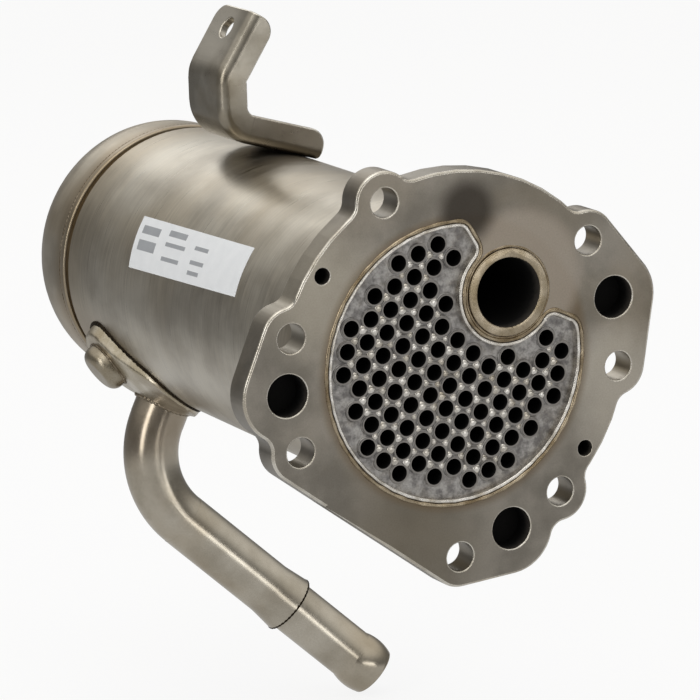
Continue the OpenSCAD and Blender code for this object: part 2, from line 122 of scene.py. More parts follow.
def linear(code: str) -> Colour:
    """Turns an sRGB hex colour into linear light.

    Args:
        code: A colour such as "#8a8379".

    Returns:
        Red, green, blue and an alpha of 1.
    """
    parts = [int(code[i:i + 2], 16) / 255 for i in (1, 3, 5)]
    light = [c / 12.92 if c <= 0.04045 else ((c + 0.055) / 1.055) ** 2.4 for c in parts]
    return (light[0], light[1], light[2], 1.0)


def add_node(tree: Tree, kind: str, inputs: dict | None = None, **settings: object) -> bpy.types.Node:
    """Adds a node with its settings, values and links.

    Args:
        tree: The node tree that gets the node.
        kind: The node's type name.
        inputs: Socket name or index to a value, or to the output socket that feeds it.
        **settings: The node's own properties.

    Returns:
        The new node.
    """
    node = tree.nodes.new(kind)
    for name, value in settings.items():
        setattr(node, name, value)
    for key, value in (inputs or {}).items():
        if isinstance(value, Socket):
            tree.links.new(value, node.inputs[key])
        else:
            node.inputs[key].default_value = value
    return node


def reckon(tree: Tree, operation: str, *values: Socket | float) -> Socket:
    """Reckons with numbers in a node tree.

    Args:
        tree: The node tree.
        operation: The Math node's operation.
        *values: Its numbers in order.

    Returns:
        The result.
    """
    return add_node(tree, "ShaderNodeMath", dict(enumerate(values)), operation=operation).outputs[0]


def remap(tree: Tree, value: Socket, span: Span, to: Span = (0.0, 1.0), soft: bool = True) -> Socket:
    """Stretches a span of numbers to another one.

    Args:
        tree: The node tree.
        value: The number.
        span: The span's two ends; numbers beyond them are held there.
        to: What the two ends become.
        soft: Whether the change starts and ends gently.

    Returns:
        The changed number.
    """
    node = add_node(tree, "ShaderNodeMapRange", {
        "Value": value, "From Min": span[0], "From Max": span[1], "To Min": to[0], "To Max": to[1]},
        interpolation_type="SMOOTHSTEP" if soft else "LINEAR")
    return node.outputs[0]


def blend(tree: Tree, share: Socket, first: Socket | Colour, second: Socket | Colour) -> Socket:
    """Mixes two colours.

    Args:
        tree: The node tree.
        share: Share of the second colour.
        first: The first colour.
        second: The second colour.

    Returns:
        The mixed colour.
    """
    node = add_node(tree, "ShaderNodeMix", {0: share, MIX_A: first, MIX_B: second}, data_type="RGBA")
    return node.outputs[MIX_OUT]


def noise(tree: Tree, coords: Socket, size_mm: float, detail: float, **more: float) -> Socket:
    """Makes a noise from 0 to 1.

    Args:
        tree: The node tree.
        coords: Object coordinates in metres.
        size_mm: Size of its spots in millimetres.
        detail: How many finer layers it has.
        **more: Further inputs of the noise node.

    Returns:
        The noise.
    """
    node = add_node(tree, "ShaderNodeTexNoise", {
        "Vector": coords, "Scale": 1 / (size_mm * MM), "Detail": detail, **more})
    return node.outputs[0]


def new_material(name: str) -> tuple[Material, Tree]:
    """Starts a material with an empty node tree.

    Args:
        name: What the material is.

    Returns:
        The material and its tree.
    """
    material = bpy.data.materials.new(name)
    material.use_nodes = True
    material.node_tree.nodes.clear()
    return material, material.node_tree


def coat(tree: Tree, inputs: dict) -> None:
    """Closes a material with a Principled surface that has the given inputs."""
    shader = add_node(tree, "ShaderNodeBsdfPrincipled", inputs)
    add_node(tree, "ShaderNodeOutputMaterial", {"Surface": shader.outputs[0]})


def polar(radius: float, angle: float, y: float = 0.0) -> Vector:
    """Gives a point round the shell axis.

    Args:
        radius: Distance from the axis in millimetres.
        angle: Degrees from +X towards +Z.
        y: Distance behind the flange face in millimetres.

    Returns:
        The point in metres.
    """
    turn = math.radians(angle)
    return Vector((radius * math.cos(turn), y, radius * math.sin(turn))) * MM


def circle(radius: float, y: float, step: int = 2) -> list[Vector]:
    """Lists points all round the shell axis, in metres, a step of some degrees apart."""
    return [polar(radius, angle, y) for angle in range(0, 360, step)]


def full_turn(count: int) -> list[float]:
    """Lists a number of angles in radians, evenly spread over a full turn."""
    return [2 * math.pi * k / count for k in range(count)]


def new_object(name: str, mesh: bpy.types.Mesh, *materials: Material) -> bpy.types.Object:
    """Puts a mesh into the scene with its materials.

    Args:
        name: The piece's name.
        mesh: The mesh, with its place in its vertices.
        *materials: The materials, in the order of the faces' indices.

    Returns:
        The new object, at the origin.
    """
    obj = bpy.data.objects.new(name, mesh)
    for material in materials:
        mesh.materials.append(material)
    bpy.context.scene.collection.objects.link(obj)
    return obj


def settle(obj: bpy.types.Object) -> None:
    """Replaces an object's mesh by what its modifiers make of it.

    Args:
        obj: The object, which loses its modifiers.
    """
    graph = bpy.context.evaluated_depsgraph_get()
    mesh = bpy.data.meshes.new_from_object(obj.evaluated_get(graph))
    obj.modifiers.clear()
    obj.data = mesh


def adopt(obj: bpy.types.Object, slot: Slot, *nodes: str) -> None:
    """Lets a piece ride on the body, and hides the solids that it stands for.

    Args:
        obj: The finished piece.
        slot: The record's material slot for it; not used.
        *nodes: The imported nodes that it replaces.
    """
    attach(obj, BODY)
    if nodes:
        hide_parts(*nodes)
    LOG.info("%s: %d faces", obj.name, len(obj.data.polygons))


@dataclass(frozen=True)
class Stain:
    """A soft-edged patch of another colour on a finish.

    Attributes:
        reach: What the distance is measured from.
        place: That point, line or plane, in millimetres.
        inner: Distance up to which the patch has its full strength, in millimetres.
        outer: Distance at which it has gone, in millimetres.
        colour: Its sRGB hex colour.
        strength: Its share of the colour, from 0 to 1.
    """

    reach: Reach
    place: Place
    inner: float
    outer: float
    colour: str
    strength: float

    def lay(self, tree: Tree, coords: Socket, blur: Socket, under: Socket) -> Socket:
        """Mixes the patch over a colour.

        Args:
            tree: The material's node tree.
            coords: Object coordinates in metres.
            blur: A noise from 0 to 1 that frays the patch's edge.
            under: The colour under the patch.

        Returns:
            The mixed colour.
        """
        scale = [1 / MM * axis for axis in self.reach.value]
        flat = add_node(tree, "ShaderNodeVectorMath", {0: coords, 1: scale}, operation="MULTIPLY")
        centre = [p * axis for p, axis in zip(self.place, self.reach.value)]
        away = add_node(tree, "ShaderNodeVectorMath", {0: flat.outputs[0], 1: centre}, operation="DISTANCE")
        width = self.outer - self.inner
        frayed = reckon(tree, "MULTIPLY_ADD", blur, FRAY * width, away.outputs["Value"])
        shift = FRAY / 2 * width
        share = remap(tree, frayed, (self.inner + shift, self.outer + shift), (self.strength, 0.0))
        return blend(tree, share, under, linear(self.colour))


@dataclass(frozen=True)
class SteelFinish:
    """Stainless steel, satin from pickling or brushing: broad soft lights, faint lines and warm cloudy tints.

    Attributes:
        name: The material's name.
        light: Main sRGB hex colour.
        dark: Colour of the cloudy darker areas.
        tint: Straw or brown tint that heat leaves.
        tint_share: Largest share of that tint.
        cloud_mm: Size of the clouds.
        grain_mm: Width of the lines or grains.
        rough: Lowest and highest roughness.
        relief: Strength of the grain's bump.
        contrast: How much the grain shows in the colour.
        stretch: How much the grain is drawn out along X, Y and Z; a small number is a long grain.
        stains: Patches laid over the colour.
    """

    name: str
    light: str
    dark: str
    tint: str
    tint_share: float
    cloud_mm: float
    grain_mm: float
    rough: Span
    relief: float
    contrast: float
    stretch: Place = (1.0, 1.0, 1.0)
    stains: tuple[Stain, ...] = ()

    def build(self) -> Material:
        """Builds the material.

        Returns:
            A material that reads Object coordinates only.
        """
        material, tree = new_material(self.name)
        coords = add_node(tree, "ShaderNodeTexCoord").outputs["Object"]
        clouds = noise(tree, coords, self.cloud_mm, 5.0, Roughness=0.55)
        drawn = add_node(tree, "ShaderNodeMapping", {"Vector": coords, "Scale": self.stretch})
        grain = noise(tree, drawn.outputs[0], self.grain_mm, 3.0, Roughness=0.6)
        warm = noise(tree, coords, self.cloud_mm / TINT_SCALE, 3.0, Roughness=0.5, Distortion=0.4)
        base = blend(tree, remap(tree, clouds, CLOUD_SPAN), linear(self.light), linear(self.dark))
        heat = remap(tree, warm, TINT_SPAN, (0.0, self.tint_share))
        colour = blend(tree, heat, base, linear(self.tint))
        for stain in self.stains:
            colour = stain.lay(tree, coords, clouds, colour)
        lines = remap(tree, grain, GRAIN_SPAN, (1 - self.contrast, 1 + self.contrast), soft=False)
        lined = add_node(tree, "ShaderNodeVectorMath", {0: colour, 1: lines}, operation="MULTIPLY")
        polish = remap(tree, grain, GRAIN_SPAN, self.rough, soft=False)
        bump = add_node(tree, "ShaderNodeBump", {
            "Height": grain, "Strength": self.relief, "Distance": self.grain_mm * MM * GRAIN_DEPTH})
        coat(tree, {"Base Color": lined.outputs[0], "Metallic": 1.0, "Roughness": polish,
                    "Normal": bump.outputs[0]})
        return material


@dataclass(frozen=True)
class SootAndShadeFinish:
    """Dry exhaust soot on steel: matt and nearly black, greyer at the mouth and darker with depth, which
    paints the shade deeper in.

    Attributes:
        name: The material's name.
        black: Colour deep inside.
        mouth: Colour at the mouth.
        depth_mm: Depth behind the flange face at which the mouth's colour has gone.
        crumb_mm: Size of the crumbs.
        crumb_height: Height of their bump in millimetres.
    """

    name: str = "exhaust_soot_and_depth_shade"
    black: str = "#0e0d0c"
    mouth: str = "#3a3631"
    depth_mm: float = 6.0
    crumb_mm: float = 1.2
    crumb_height: float = 0.2

    def build(self) -> Material:
        """Builds the material.

        Returns:
            A dull dark material whose tone falls with depth, a painted shade.
        """
        material, tree = new_material(self.name)
        coords = add_node(tree, "ShaderNodeTexCoord").outputs["Object"]
        behind = add_node(tree, "ShaderNodeSeparateXYZ", {0: coords}).outputs[1]
        crumbs = noise(tree, coords, self.crumb_mm, 4.0)
        # Darker with depth behind the flange face: painted shade in the bores and holes
        depth = self.depth_mm * MM
        deep = reckon(tree, "MULTIPLY_ADD", crumbs, depth / 2, behind)
        colour = blend(tree, remap(tree, deep, (0.0, depth)), linear(self.mouth), linear(self.black))
        bump = add_node(tree, "ShaderNodeBump", {
            "Height": crumbs, "Strength": 0.3, "Distance": self.crumb_height * MM})
        coat(tree, {"Base Color": colour, "Roughness": 0.9, "Specular IOR Level": 0.2,
                    "Normal": bump.outputs[0]})
        return material


@dataclass(frozen=True)
class TubeEndFinish:
    """Thin stainless tube with soot in its bore: only the cut end still shines.

    Attributes:
        name: The material's name.
        lip: Colour of the cut end.
        soot: Colour of the bore.
        facing: How far a surface faces the rear where it is all cut end, and where it is none.
    """

    name: str = "sooted_tube"
    lip: str = "#8f8b86"
    soot: str = "#0c0b0a"
    facing: Span = (-0.9, -0.4)

    def build(self) -> Material:
        """Builds the material.

        Returns:
            A material that is bright only where the surface faces the front.
        """
        material, tree = new_material(self.name)
        normal = add_node(tree, "ShaderNodeNewGeometry").outputs["Normal"]
        rearward = add_node(tree, "ShaderNodeSeparateXYZ", {0: normal}).outputs[1]
        end = remap(tree, rearward, self.facing, (1.0, 0.0), soft=False)
        colour = blend(tree, end, linear(self.soot), linear(self.lip))
        coat(tree, {"Base Color": colour, "Metallic": end, "Roughness": 0.5})
        return material


@dataclass(frozen=True)
class PrintFinish:
    """Coated label paper or the toner on it: smooth, slightly glossy, with a faint unevenness.

    Attributes:
        name: The material's name.
        colour: Its sRGB hex colour.
        shade: The uneven colour.
        spot_mm: Size of the uneven spots.
    """

    name: str
    colour: str
    shade: str
    spot_mm: float = 4.0

    def build(self) -> Material:
        """Builds the material.

        Returns:
            A plain coated surface.
        """
        material, tree = new_material(self.name)
        coords = add_node(tree, "ShaderNodeTexCoord").outputs["Object"]
        uneven = noise(tree, coords, self.spot_mm, 4.0)
        coat(tree, {"Base Color": blend(tree, uneven, linear(self.colour), linear(self.shade)),
                    "Roughness": 0.42})
        return material


def merged_mesh(node: str) -> bmesh.types.BMesh:
    """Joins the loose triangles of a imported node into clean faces.

    Args:
        node: The node's name.

    Returns:
        A mesh in editing form, which the caller frees.
    """
    work = bmesh.new()
    work.from_mesh(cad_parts[node].data)
    bmesh.ops.remove_doubles(work, verts=work.verts, dist=JOIN_DISTANCE)
    bmesh.ops.dissolve_limit(
        work, angle_limit=math.radians(FLAT_ANGLE), verts=work.verts, edges=work.edges)
    return work


def finished_mesh(name: str, work: bmesh.types.BMesh, crease: float = CRISP) -> bpy.types.Mesh:
    """Turns an edited mesh into a smooth-shaded one with crisp edges.

    Args:
        name: The mesh's name.
        work: The edited mesh, which is freed.
        crease: Angle in degrees from which an edge stays crisp.

    Returns:
        The mesh.
    """
    mesh = bpy.data.meshes.new(name)
    limit = math.radians(crease)
    for face in work.faces:
        face.smooth = True
    for edge in work.edges:
        edge.smooth = len(edge.link_faces) == 2 and edge.calc_face_angle(0.0) < limit
    work.to_mesh(mesh)
    work.free()
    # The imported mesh's own normals no longer fit the joined faces
    stale = mesh.attributes.get("custom_normal")
    if stale:
        mesh.attributes.remove(stale)
    return mesh


def broken_edges(work: bmesh.types.BMesh, share: Callable[[Vector], float], crease: float = BREAK) -> None:
    """Writes how wide each crisp edge is broken, for a Bevel modifier that reads weights.

    Args:
        work: The edited mesh.
        share: Gives the share of the full width at an edge's middle.
        crease: Angle in degrees from which an edge is broken.
    """
    layer = work.edges.layers.float.new("bevel_weight_edge")
    limit = math.radians(crease)
    thin = {face for face in work.faces if face.calc_area() < SLIVER * MM * face.calc_perimeter()}
    for edge in work.edges:
        faces = edge.link_faces
        if len(faces) == 2 and edge.calc_face_angle(0.0) > limit and thin.isdisjoint(faces):
            middle = (edge.verts[0].co + edge.verts[1].co) / 2
            edge[layer] = share(middle)


def break_edges(obj: bpy.types.Object, width_mm: float, finish_index: int = -1) -> None:
    """Adds the modifier that breaks the weighted edges.

    Args:
        obj: The piece.
        width_mm: Full width in millimetres.
        finish_index: Place of the edges' own material on the piece, or -1 for its neighbours' one.
    """
    bevel = obj.modifiers.new("broken_edges", "BEVEL")
    bevel.limit_method = "WEIGHT"
    bevel.width = width_mm * MM
    bevel.segments = 2
    bevel.material = finish_index
    bevel.use_clamp_overlap = False
    bevel.harden_normals = True


def soften(obj: bpy.types.Object, grid_mm: float, passes: int) -> None:
    """Rounds all edges of a pressed piece on an even grid of faces.

    Args:
        obj: The piece, with one material.
        grid_mm: Size of the faces in millimetres.
        passes: How often the surface is smoothed; more passes give rounder edges.
    """
    finish = obj.data.materials[0]
    grid = obj.modifiers.new("even_grid", "REMESH")
    grid.mode = "VOXEL"
    grid.voxel_size = grid_mm * MM
    grid.use_smooth_shade = True
    smooth = obj.modifiers.new("round_edges", "SMOOTH")
    smooth.factor = 0.5
    smooth.iterations = passes
    settle(obj)
    obj.data.materials.clear()
    obj.data.materials.append(finish)


class NodeRecipe:
    """Builds a Geometry Nodes tree with named inputs and makes pieces with it."""

    def __init__(self, name: str, *sizes: str, random: bool = False) -> None:
        """Starts the tree.

        Args:
            name: The tree's name.
            *sizes: Names of its number inputs.
            random: Whether it also takes an unevenness and a seed.
        """
        inputs = {"Geometry": "Geometry", **dict.fromkeys(sizes, "Float")}
        if random:
            inputs |= {"Unevenness": "Float", "Seed": "Int"}
        inputs["Finish"] = "Material"
        self.tree = bpy.data.node_groups.new(name, "GeometryNodeTree")
        face = self.tree.interface
        for label, kind in inputs.items():
            face.new_socket(name=label, in_out="INPUT", socket_type="NodeSocket" + kind)
        face.new_socket(name="Geometry", in_out="OUTPUT", socket_type="NodeSocketGeometry")
        self.given = add_node(self.tree, "NodeGroupInput").outputs

    def end(self, geometry: Socket) -> None:
        """Closes the tree with real meshes and the given material.

        Args:
            geometry: The finished geometry.
        """
        real = add_node(self.tree, "GeometryNodeRealizeInstances", {0: geometry})
        smooth = add_node(self.tree, "GeometryNodeSetShadeSmooth", {0: real.outputs[0]})
        dressed = add_node(self.tree, "GeometryNodeSetMaterial", {
            "Geometry": smooth.outputs[0], "Material": self.given["Finish"]})
        add_node(self.tree, "NodeGroupOutput", {0: dressed.outputs[0]})

    def end_on_points(self, piece: Socket, **more: Socket) -> None:
        """Closes the tree with a copy of a piece at every point, each a little larger or smaller.

        Args:
            piece: The piece's geometry.
            **more: Further inputs of the node that places the copies.
        """
        low = reckon(self.tree, "SUBTRACT", 1.0, self.given["Unevenness"])
        high = reckon(self.tree, "ADD", 1.0, self.given["Unevenness"])
        size = add_node(self.tree, "FunctionNodeRandomValue", {
            2: low, 3: high, "Seed": self.given["Seed"]}, data_type="FLOAT")
        dots = add_node(self.tree, "GeometryNodeMeshToPoints", {0: self.given["Geometry"]})
        copies = add_node(self.tree, "GeometryNodeInstanceOnPoints", {
            "Points": dots.outputs[0], "Instance": piece, "Scale": size.outputs[1], **more})
        self.end(copies.outputs[0])

    def make(self, name: str, points: Sequence[Vector], edges: Sequence[tuple[int, int]],
             values: dict[str, object]) -> bpy.types.Object:
        """Makes a piece out of points or lines.

        Args:
            name: The piece's name.
            points: The points in metres.
            edges: Pairs of points that a line joins.
            values: Input name to value.

        Returns:
            The piece.
        """
        mesh = bpy.data.meshes.new(name)
        mesh.from_pydata(points, edges, [])
        obj = new_object(name, mesh)
        modifier = obj.modifiers.new("recipe", "NODES")
        modifier.node_group = self.tree
        for item in self.tree.interface.items_tree:
            if item.in_out == "INPUT" and item.name in values:
                modifier[item.identifier] = values[item.name]
        settle(obj)
        return obj


def braze_recipe() -> NodeRecipe:
    """Makes a ring of braze round every point.

    Returns:
        A recipe with the ring's sizes and a seed as inputs.
    """
    recipe = NodeRecipe("braze_rings", "Ring Radius", "Bead Radius", random=True)
    tree, given = recipe.tree, recipe.given
    path = add_node(tree, "GeometryNodeCurvePrimitiveCircle", {
        "Resolution": 24, "Radius": given["Ring Radius"]})
    bead = add_node(tree, "GeometryNodeCurvePrimitiveCircle", {
        "Resolution": 6, "Radius": given["Bead Radius"]})
    ring = add_node(tree, "GeometryNodeCurveToMesh", {0: path.outputs[0], 1: bead.outputs[0]})
    stood = add_node(tree, "GeometryNodeTransform", {0: ring.outputs[0], "Rotation": (math.pi / 2, 0.0, 0.0)})
    turn = add_node(tree, "FunctionNodeRandomValue", {
        2: 0.0, 3: RING_TURN, "Seed": given["Seed"]}, data_type="FLOAT")
    spin = add_node(tree, "ShaderNodeCombineXYZ", {"Y": turn.outputs[1]})
    recipe.end_on_points(stood.outputs[0], Rotation=spin.outputs[0])
    return recipe


def pool_recipe() -> NodeRecipe:
    """Makes a low dome of braze at every point.

    Returns:
        A recipe with the dome's sizes and a seed as inputs.
    """
    recipe = NodeRecipe("braze_pools", "Pool Radius", "Pool Height", random=True)
    tree, given = recipe.tree, recipe.given
    ball = add_node(tree, "GeometryNodeMeshUVSphere", {"Segments": 10, "Rings": 6, "Radius": 1.0})
    shape = add_node(tree, "ShaderNodeCombineXYZ", {
        "X": given["Pool Radius"], "Y": given["Pool Height"], "Z": given["Pool Radius"]})
    dome = add_node(tree, "GeometryNodeTransform", {0: ball.outputs[0], "Scale": shape.outputs[0]})
    recipe.end_on_points(dome.outputs[0])
    return recipe


def weld_recipe() -> NodeRecipe:
    """Makes a rippled weld bead along a line of edges.

    Returns:
        A recipe with the bead's sizes as inputs.
    """
    recipe = NodeRecipe("weld_bead", "Bead Radius", "Ripple Pitch", "Ripple Depth")
    tree, given = recipe.tree, recipe.given
    line = add_node(tree, "GeometryNodeMeshToCurve", {0: given["Geometry"]})
    step = reckon(tree, "MULTIPLY", given["Ripple Pitch"], BEAD_STEP)
    fine = add_node(tree, "GeometryNodeResampleCurve", {0: line.outputs[0], "Length": step}, mode="LENGTH")
    run = add_node(tree, "GeometryNodeSplineParameter").outputs["Length"]
    phase = reckon(tree, "MULTIPLY", reckon(tree, "DIVIDE", run, given["Ripple Pitch"]), 2 * math.pi)
    swell = reckon(tree, "MULTIPLY_ADD", reckon(tree, "SINE", phase), given["Ripple Depth"], 1.0)
    thick = reckon(tree, "MULTIPLY", swell, given["Bead Radius"])
    bead = add_node(tree, "GeometryNodeCurvePrimitiveCircle", {"Resolution": 10, "Radius": 1.0})
    solid = add_node(tree, "GeometryNodeCurveToMesh", {
        0: fine.outputs[0], 1: bead.outputs[0], "Scale": thick, "Fill Caps": True})
    recipe.end(solid.outputs[0])
    return recipe


class Welder:
    """Lays weld beads along given lines."""

    # Height of the ripples as a share of the bead's radius
    RIPPLE_DEPTH = 0.16

    def __init__(self, finish: Material) -> None:
        """Keeps the bead's finish and its recipe."""
        self.finish = finish
        self.recipe = weld_recipe()

    def lay(self, name: str, points: Sequence[Vector], slot: Slot, radius_mm: float,
            pitch_mm: float = 1.6) -> None:
        """Lays one bead along a closed line.

        Args:
            name: The piece's name.
            points: The line's points in metres.
            slot: The record's material slot.
            radius_mm: The bead's radius.
            pitch_mm: Distance between ripples.
        """
        edges = [(i, (i + 1) % len(points)) for i in range(len(points))]
        obj = self.recipe.make(name, points, edges, {
            "Bead Radius": radius_mm * MM, "Ripple Pitch": pitch_mm * MM,
            "Ripple Depth": self.RIPPLE_DEPTH, "Finish": self.finish})
        adopt(obj, slot)


@dataclass(frozen=True)
class HoleSet:
    """Equal holes in the flange.

    Attributes:
        centres: Their centres, as radius and angle round the shell axis.
        radius: Their radius.
        edge: Share of the flange's chamfer at their edges, at the front and further back.
    """

    centres: tuple[Span, ...]
    radius: float
    edge: Span

    def holds(self, point: Vector) -> bool:
        """Tells whether a point lies in or at the edge of one of the holes.

        Args:
            point: The point in metres.

        Returns:
            True if it does.
        """
        reach = (self.radius + SLACK) * MM
        middles = [polar(*centre) for centre in self.centres]
        return any(math.hypot(point.x - middle.x, point.z - middle.z) < reach for middle in middles)


@dataclass
class FlangeFace:
    """The mounting flange, the front tube plate and the mouth of the return tube.

    Attributes:
        blind: The three wide blind holes.
        dowel: The two dowel holes.
        bolt: The seven bolt holes.
        dark_depth: Depth from which the blind and dowel holes are dark.
        chamfer: Width of the chamfer round the front edge.
        rim_edge: Share of that chamfer round the outline, at the front and at the rear.
        front_depth: Depth up to which an edge counts as a front edge.
        opening_r: Radius that holds the two gas openings, whose edges stay sharp.
        plate_rim: Depth of the tube plate's rim behind the flange face; the rim's lighter finish paints its
            highlight.
        plate_edge: Width to which that rim's edges are rounded.
        return_place: The return tube's centre, as radius and angle.
        return_bore_r: Radius just outside its bore's wall.
        soot_depth: Depth behind the flange face from which soot covers that bore.
        collar_r: Radius of the collar's seat.
        plate_fillet_r: Radius of the braze fillet round the tube plate.
        collar_fillet_r: Radius of the braze fillet round the collar.
        fillet_sink: Depth of the fillets' middle behind the flange face.
        fillet_pitch: Distance between the fillets' swells.
    """

    blind: HoleSet = HoleSet(((56.4, 16.2), (56.4, 184.5), (56.4, 290.1)), 6.5, (0.5, 0.0))
    dowel: HoleSet = HoleSet(((54.2, 145.7), (54.2, 325.7)), 2.5, (0.3, 0.0))
    bolt: HoleSet = HoleSet(
        ((56.4, 37), (56.4, 115.5), (56.4, 167), (56.4, 203), (56.4, 310), (56.4, 354), (60, 271.7)),
        4.5, (0.5, 0.3))
    dark_depth: float = 0.3
    chamfer: float = 0.8
    rim_edge: Span = (1.0, 0.5)
    front_depth: float = 1.0
    opening_r: float = 46.5
    plate_rim: float = 1.5
    plate_edge: float = 0.5
    return_place: Span = (26.9, 49.5)
    return_bore_r: float = 10.75
    soot_depth: float = 2.2
    collar_r: float = 13.6
    plate_fillet_r: float = 0.65
    collar_fillet_r: float = 0.4
    fillet_sink: float = 0.2
    fillet_pitch: float = 7.0

    def edge_share(self, point: Vector) -> float:
        """Gives the share of the full chamfer at a point of the flange's edges.

        Args:
            point: The point in metres.

        Returns:
            The share, from 0 to 1.
        """
        rear = int(point.y >= self.front_depth * MM)
        for holes in (self.blind, self.dowel, self.bolt):
            if holes.holds(point):
                return holes.edge[rear]
        within = math.hypot(point.x, point.z) < self.opening_r * MM
        return 0.0 if within else self.rim_edge[rear]

    def build_flange(self, steel: Material, soot: Material, edge: Material) -> None:
        """Makes the flange with its chamfers in a lighter finish, which paints their highlight, and its blind
        holes near-black inside.

        Args:
            steel: Finish of the plate.
            soot: Near-black finish inside the blind and dowel holes, darker with depth as a painted shade.
            edge: Finish of the chamfers, lighter than the plate as a painted highlight.
        """
        work = merged_mesh("mounting_flange")
        for face in work.faces:
            middle = face.calc_center_median()
            dark = self.blind.holds(middle) or self.dowel.holds(middle)
            face.material_index = int(dark and middle.y > self.dark_depth * MM)
        broken_edges(work, self.edge_share)
        obj = new_object("flange", finished_mesh("flange", work), steel, soot, edge)
        # The chamfers take the third, lighter finish: a painted highlight
        break_edges(obj, self.chamfer, 2)
        adopt(obj, Slot.FLANGE, "mounting_flange")

    def build_plate(self, braze: Material, bright: Material) -> None:
        """Makes the front tube plate with a softened rim in a lighter finish, which paints its highlight.

        Args:
            braze: Finish between the tubes.
            bright: Finish of the rim, lighter than the plate as a painted highlight.
        """
        work = merged_mesh("front_tube_plate")
        # Faces of the rim take the lighter finish: a painted highlight
        for face in work.faces:
            face.material_index = int(face.calc_center_median().y < self.plate_rim * MM)
        broken_edges(work, lambda point: 1.0 if point.y < self.front_depth * MM else 0.0)
        obj = new_object("tube_plate", finished_mesh("tube_plate", work), braze, bright)
        break_edges(obj, self.plate_edge)
        adopt(obj, Slot.PLATE, "front_tube_plate")

    def lip(self, outside: float) -> list[Vector]:
        """Follows the tube plate's outer edge at the flange face.

        Args:
            outside: Distance of the line outside that edge, in millimetres.

        Returns:
            The line's points in order, in metres.
        """
        work = merged_mesh("front_tube_plate")
        top = min(vert.co.y for vert in work.verts) + SLACK * MM
        crown = {face for face in work.faces if face.calc_center_median().y < top}
        border = [edge for edge in work.edges if len(crown.intersection(edge.link_faces)) == 1]
        far = max((vert for edge in border for vert in edge.verts), key=lambda vert: vert.co.length)
        loop, edge = [far], next(edge for edge in border if far in edge.verts)
        while edge.other_vert(loop[-1]) is not far:
            loop.append(edge.other_vert(loop[-1]))
            edge = next(other for other in border if loop[-1] in other.verts and other is not edge)
        flat = [Vector((vert.co.x, 0.0, vert.co.z)) for vert in loop]
        work.free()
        count = len(flat)
        area = sum(flat[i - 1].x * flat[i].z - flat[i].x * flat[i - 1].z for i in range(count))
        line = []
        for i, point in enumerate(flat):
            way = (flat[(i + 1) % count] - flat[i - 1]).normalized() * (1 if area > 0 else -1)
            line.append(point + Vector((way.z, 0.0, -way.x)) * outside * MM)
        return line

    def build_fillets(self, brazer: Welder) -> None:
        """Lays the braze fillets round the tube plate and the return tube's collar.

        Args:
            brazer: Lays the fillets in their finish.
        """
        sunk = Vector((0.0, self.fillet_sink * MM, 0.0))
        brazer.lay("plate_fillet", [point + sunk for point in self.lip(self.plate_fillet_r)], Slot.PLATE,
                   self.plate_fillet_r, self.fillet_pitch)
        centre = polar(*self.return_place)
        ring = [centre + point + sunk for point in circle(self.collar_r + self.collar_fillet_r, 0.0, 5)]
        brazer.lay("collar_fillet", ring, Slot.TUBE, self.collar_fillet_r, self.fillet_pitch)

    def build_mouth(self, steel: Material, soot: Material) -> None:
        """Makes the return tube with soot in its bore.

        Args:
            steel: Finish of the collar.
            soot: Finish of the bore: soot, darker with depth as a painted shade.
        """
        work = merged_mesh("return_tube")
        centre = polar(*self.return_place)
        for face in work.faces:
            middle = face.calc_center_median()
            across = math.hypot(middle.x - centre.x, middle.z - centre.z)
            deep = middle.y > self.soot_depth * MM
            face.material_index = int(deep and across < self.return_bore_r * MM)
        obj = new_object("return_mouth", finished_mesh("return_mouth", work, CRISP_COARSE), steel, soot)
        adopt(obj, Slot.TUBE, "return_tube")


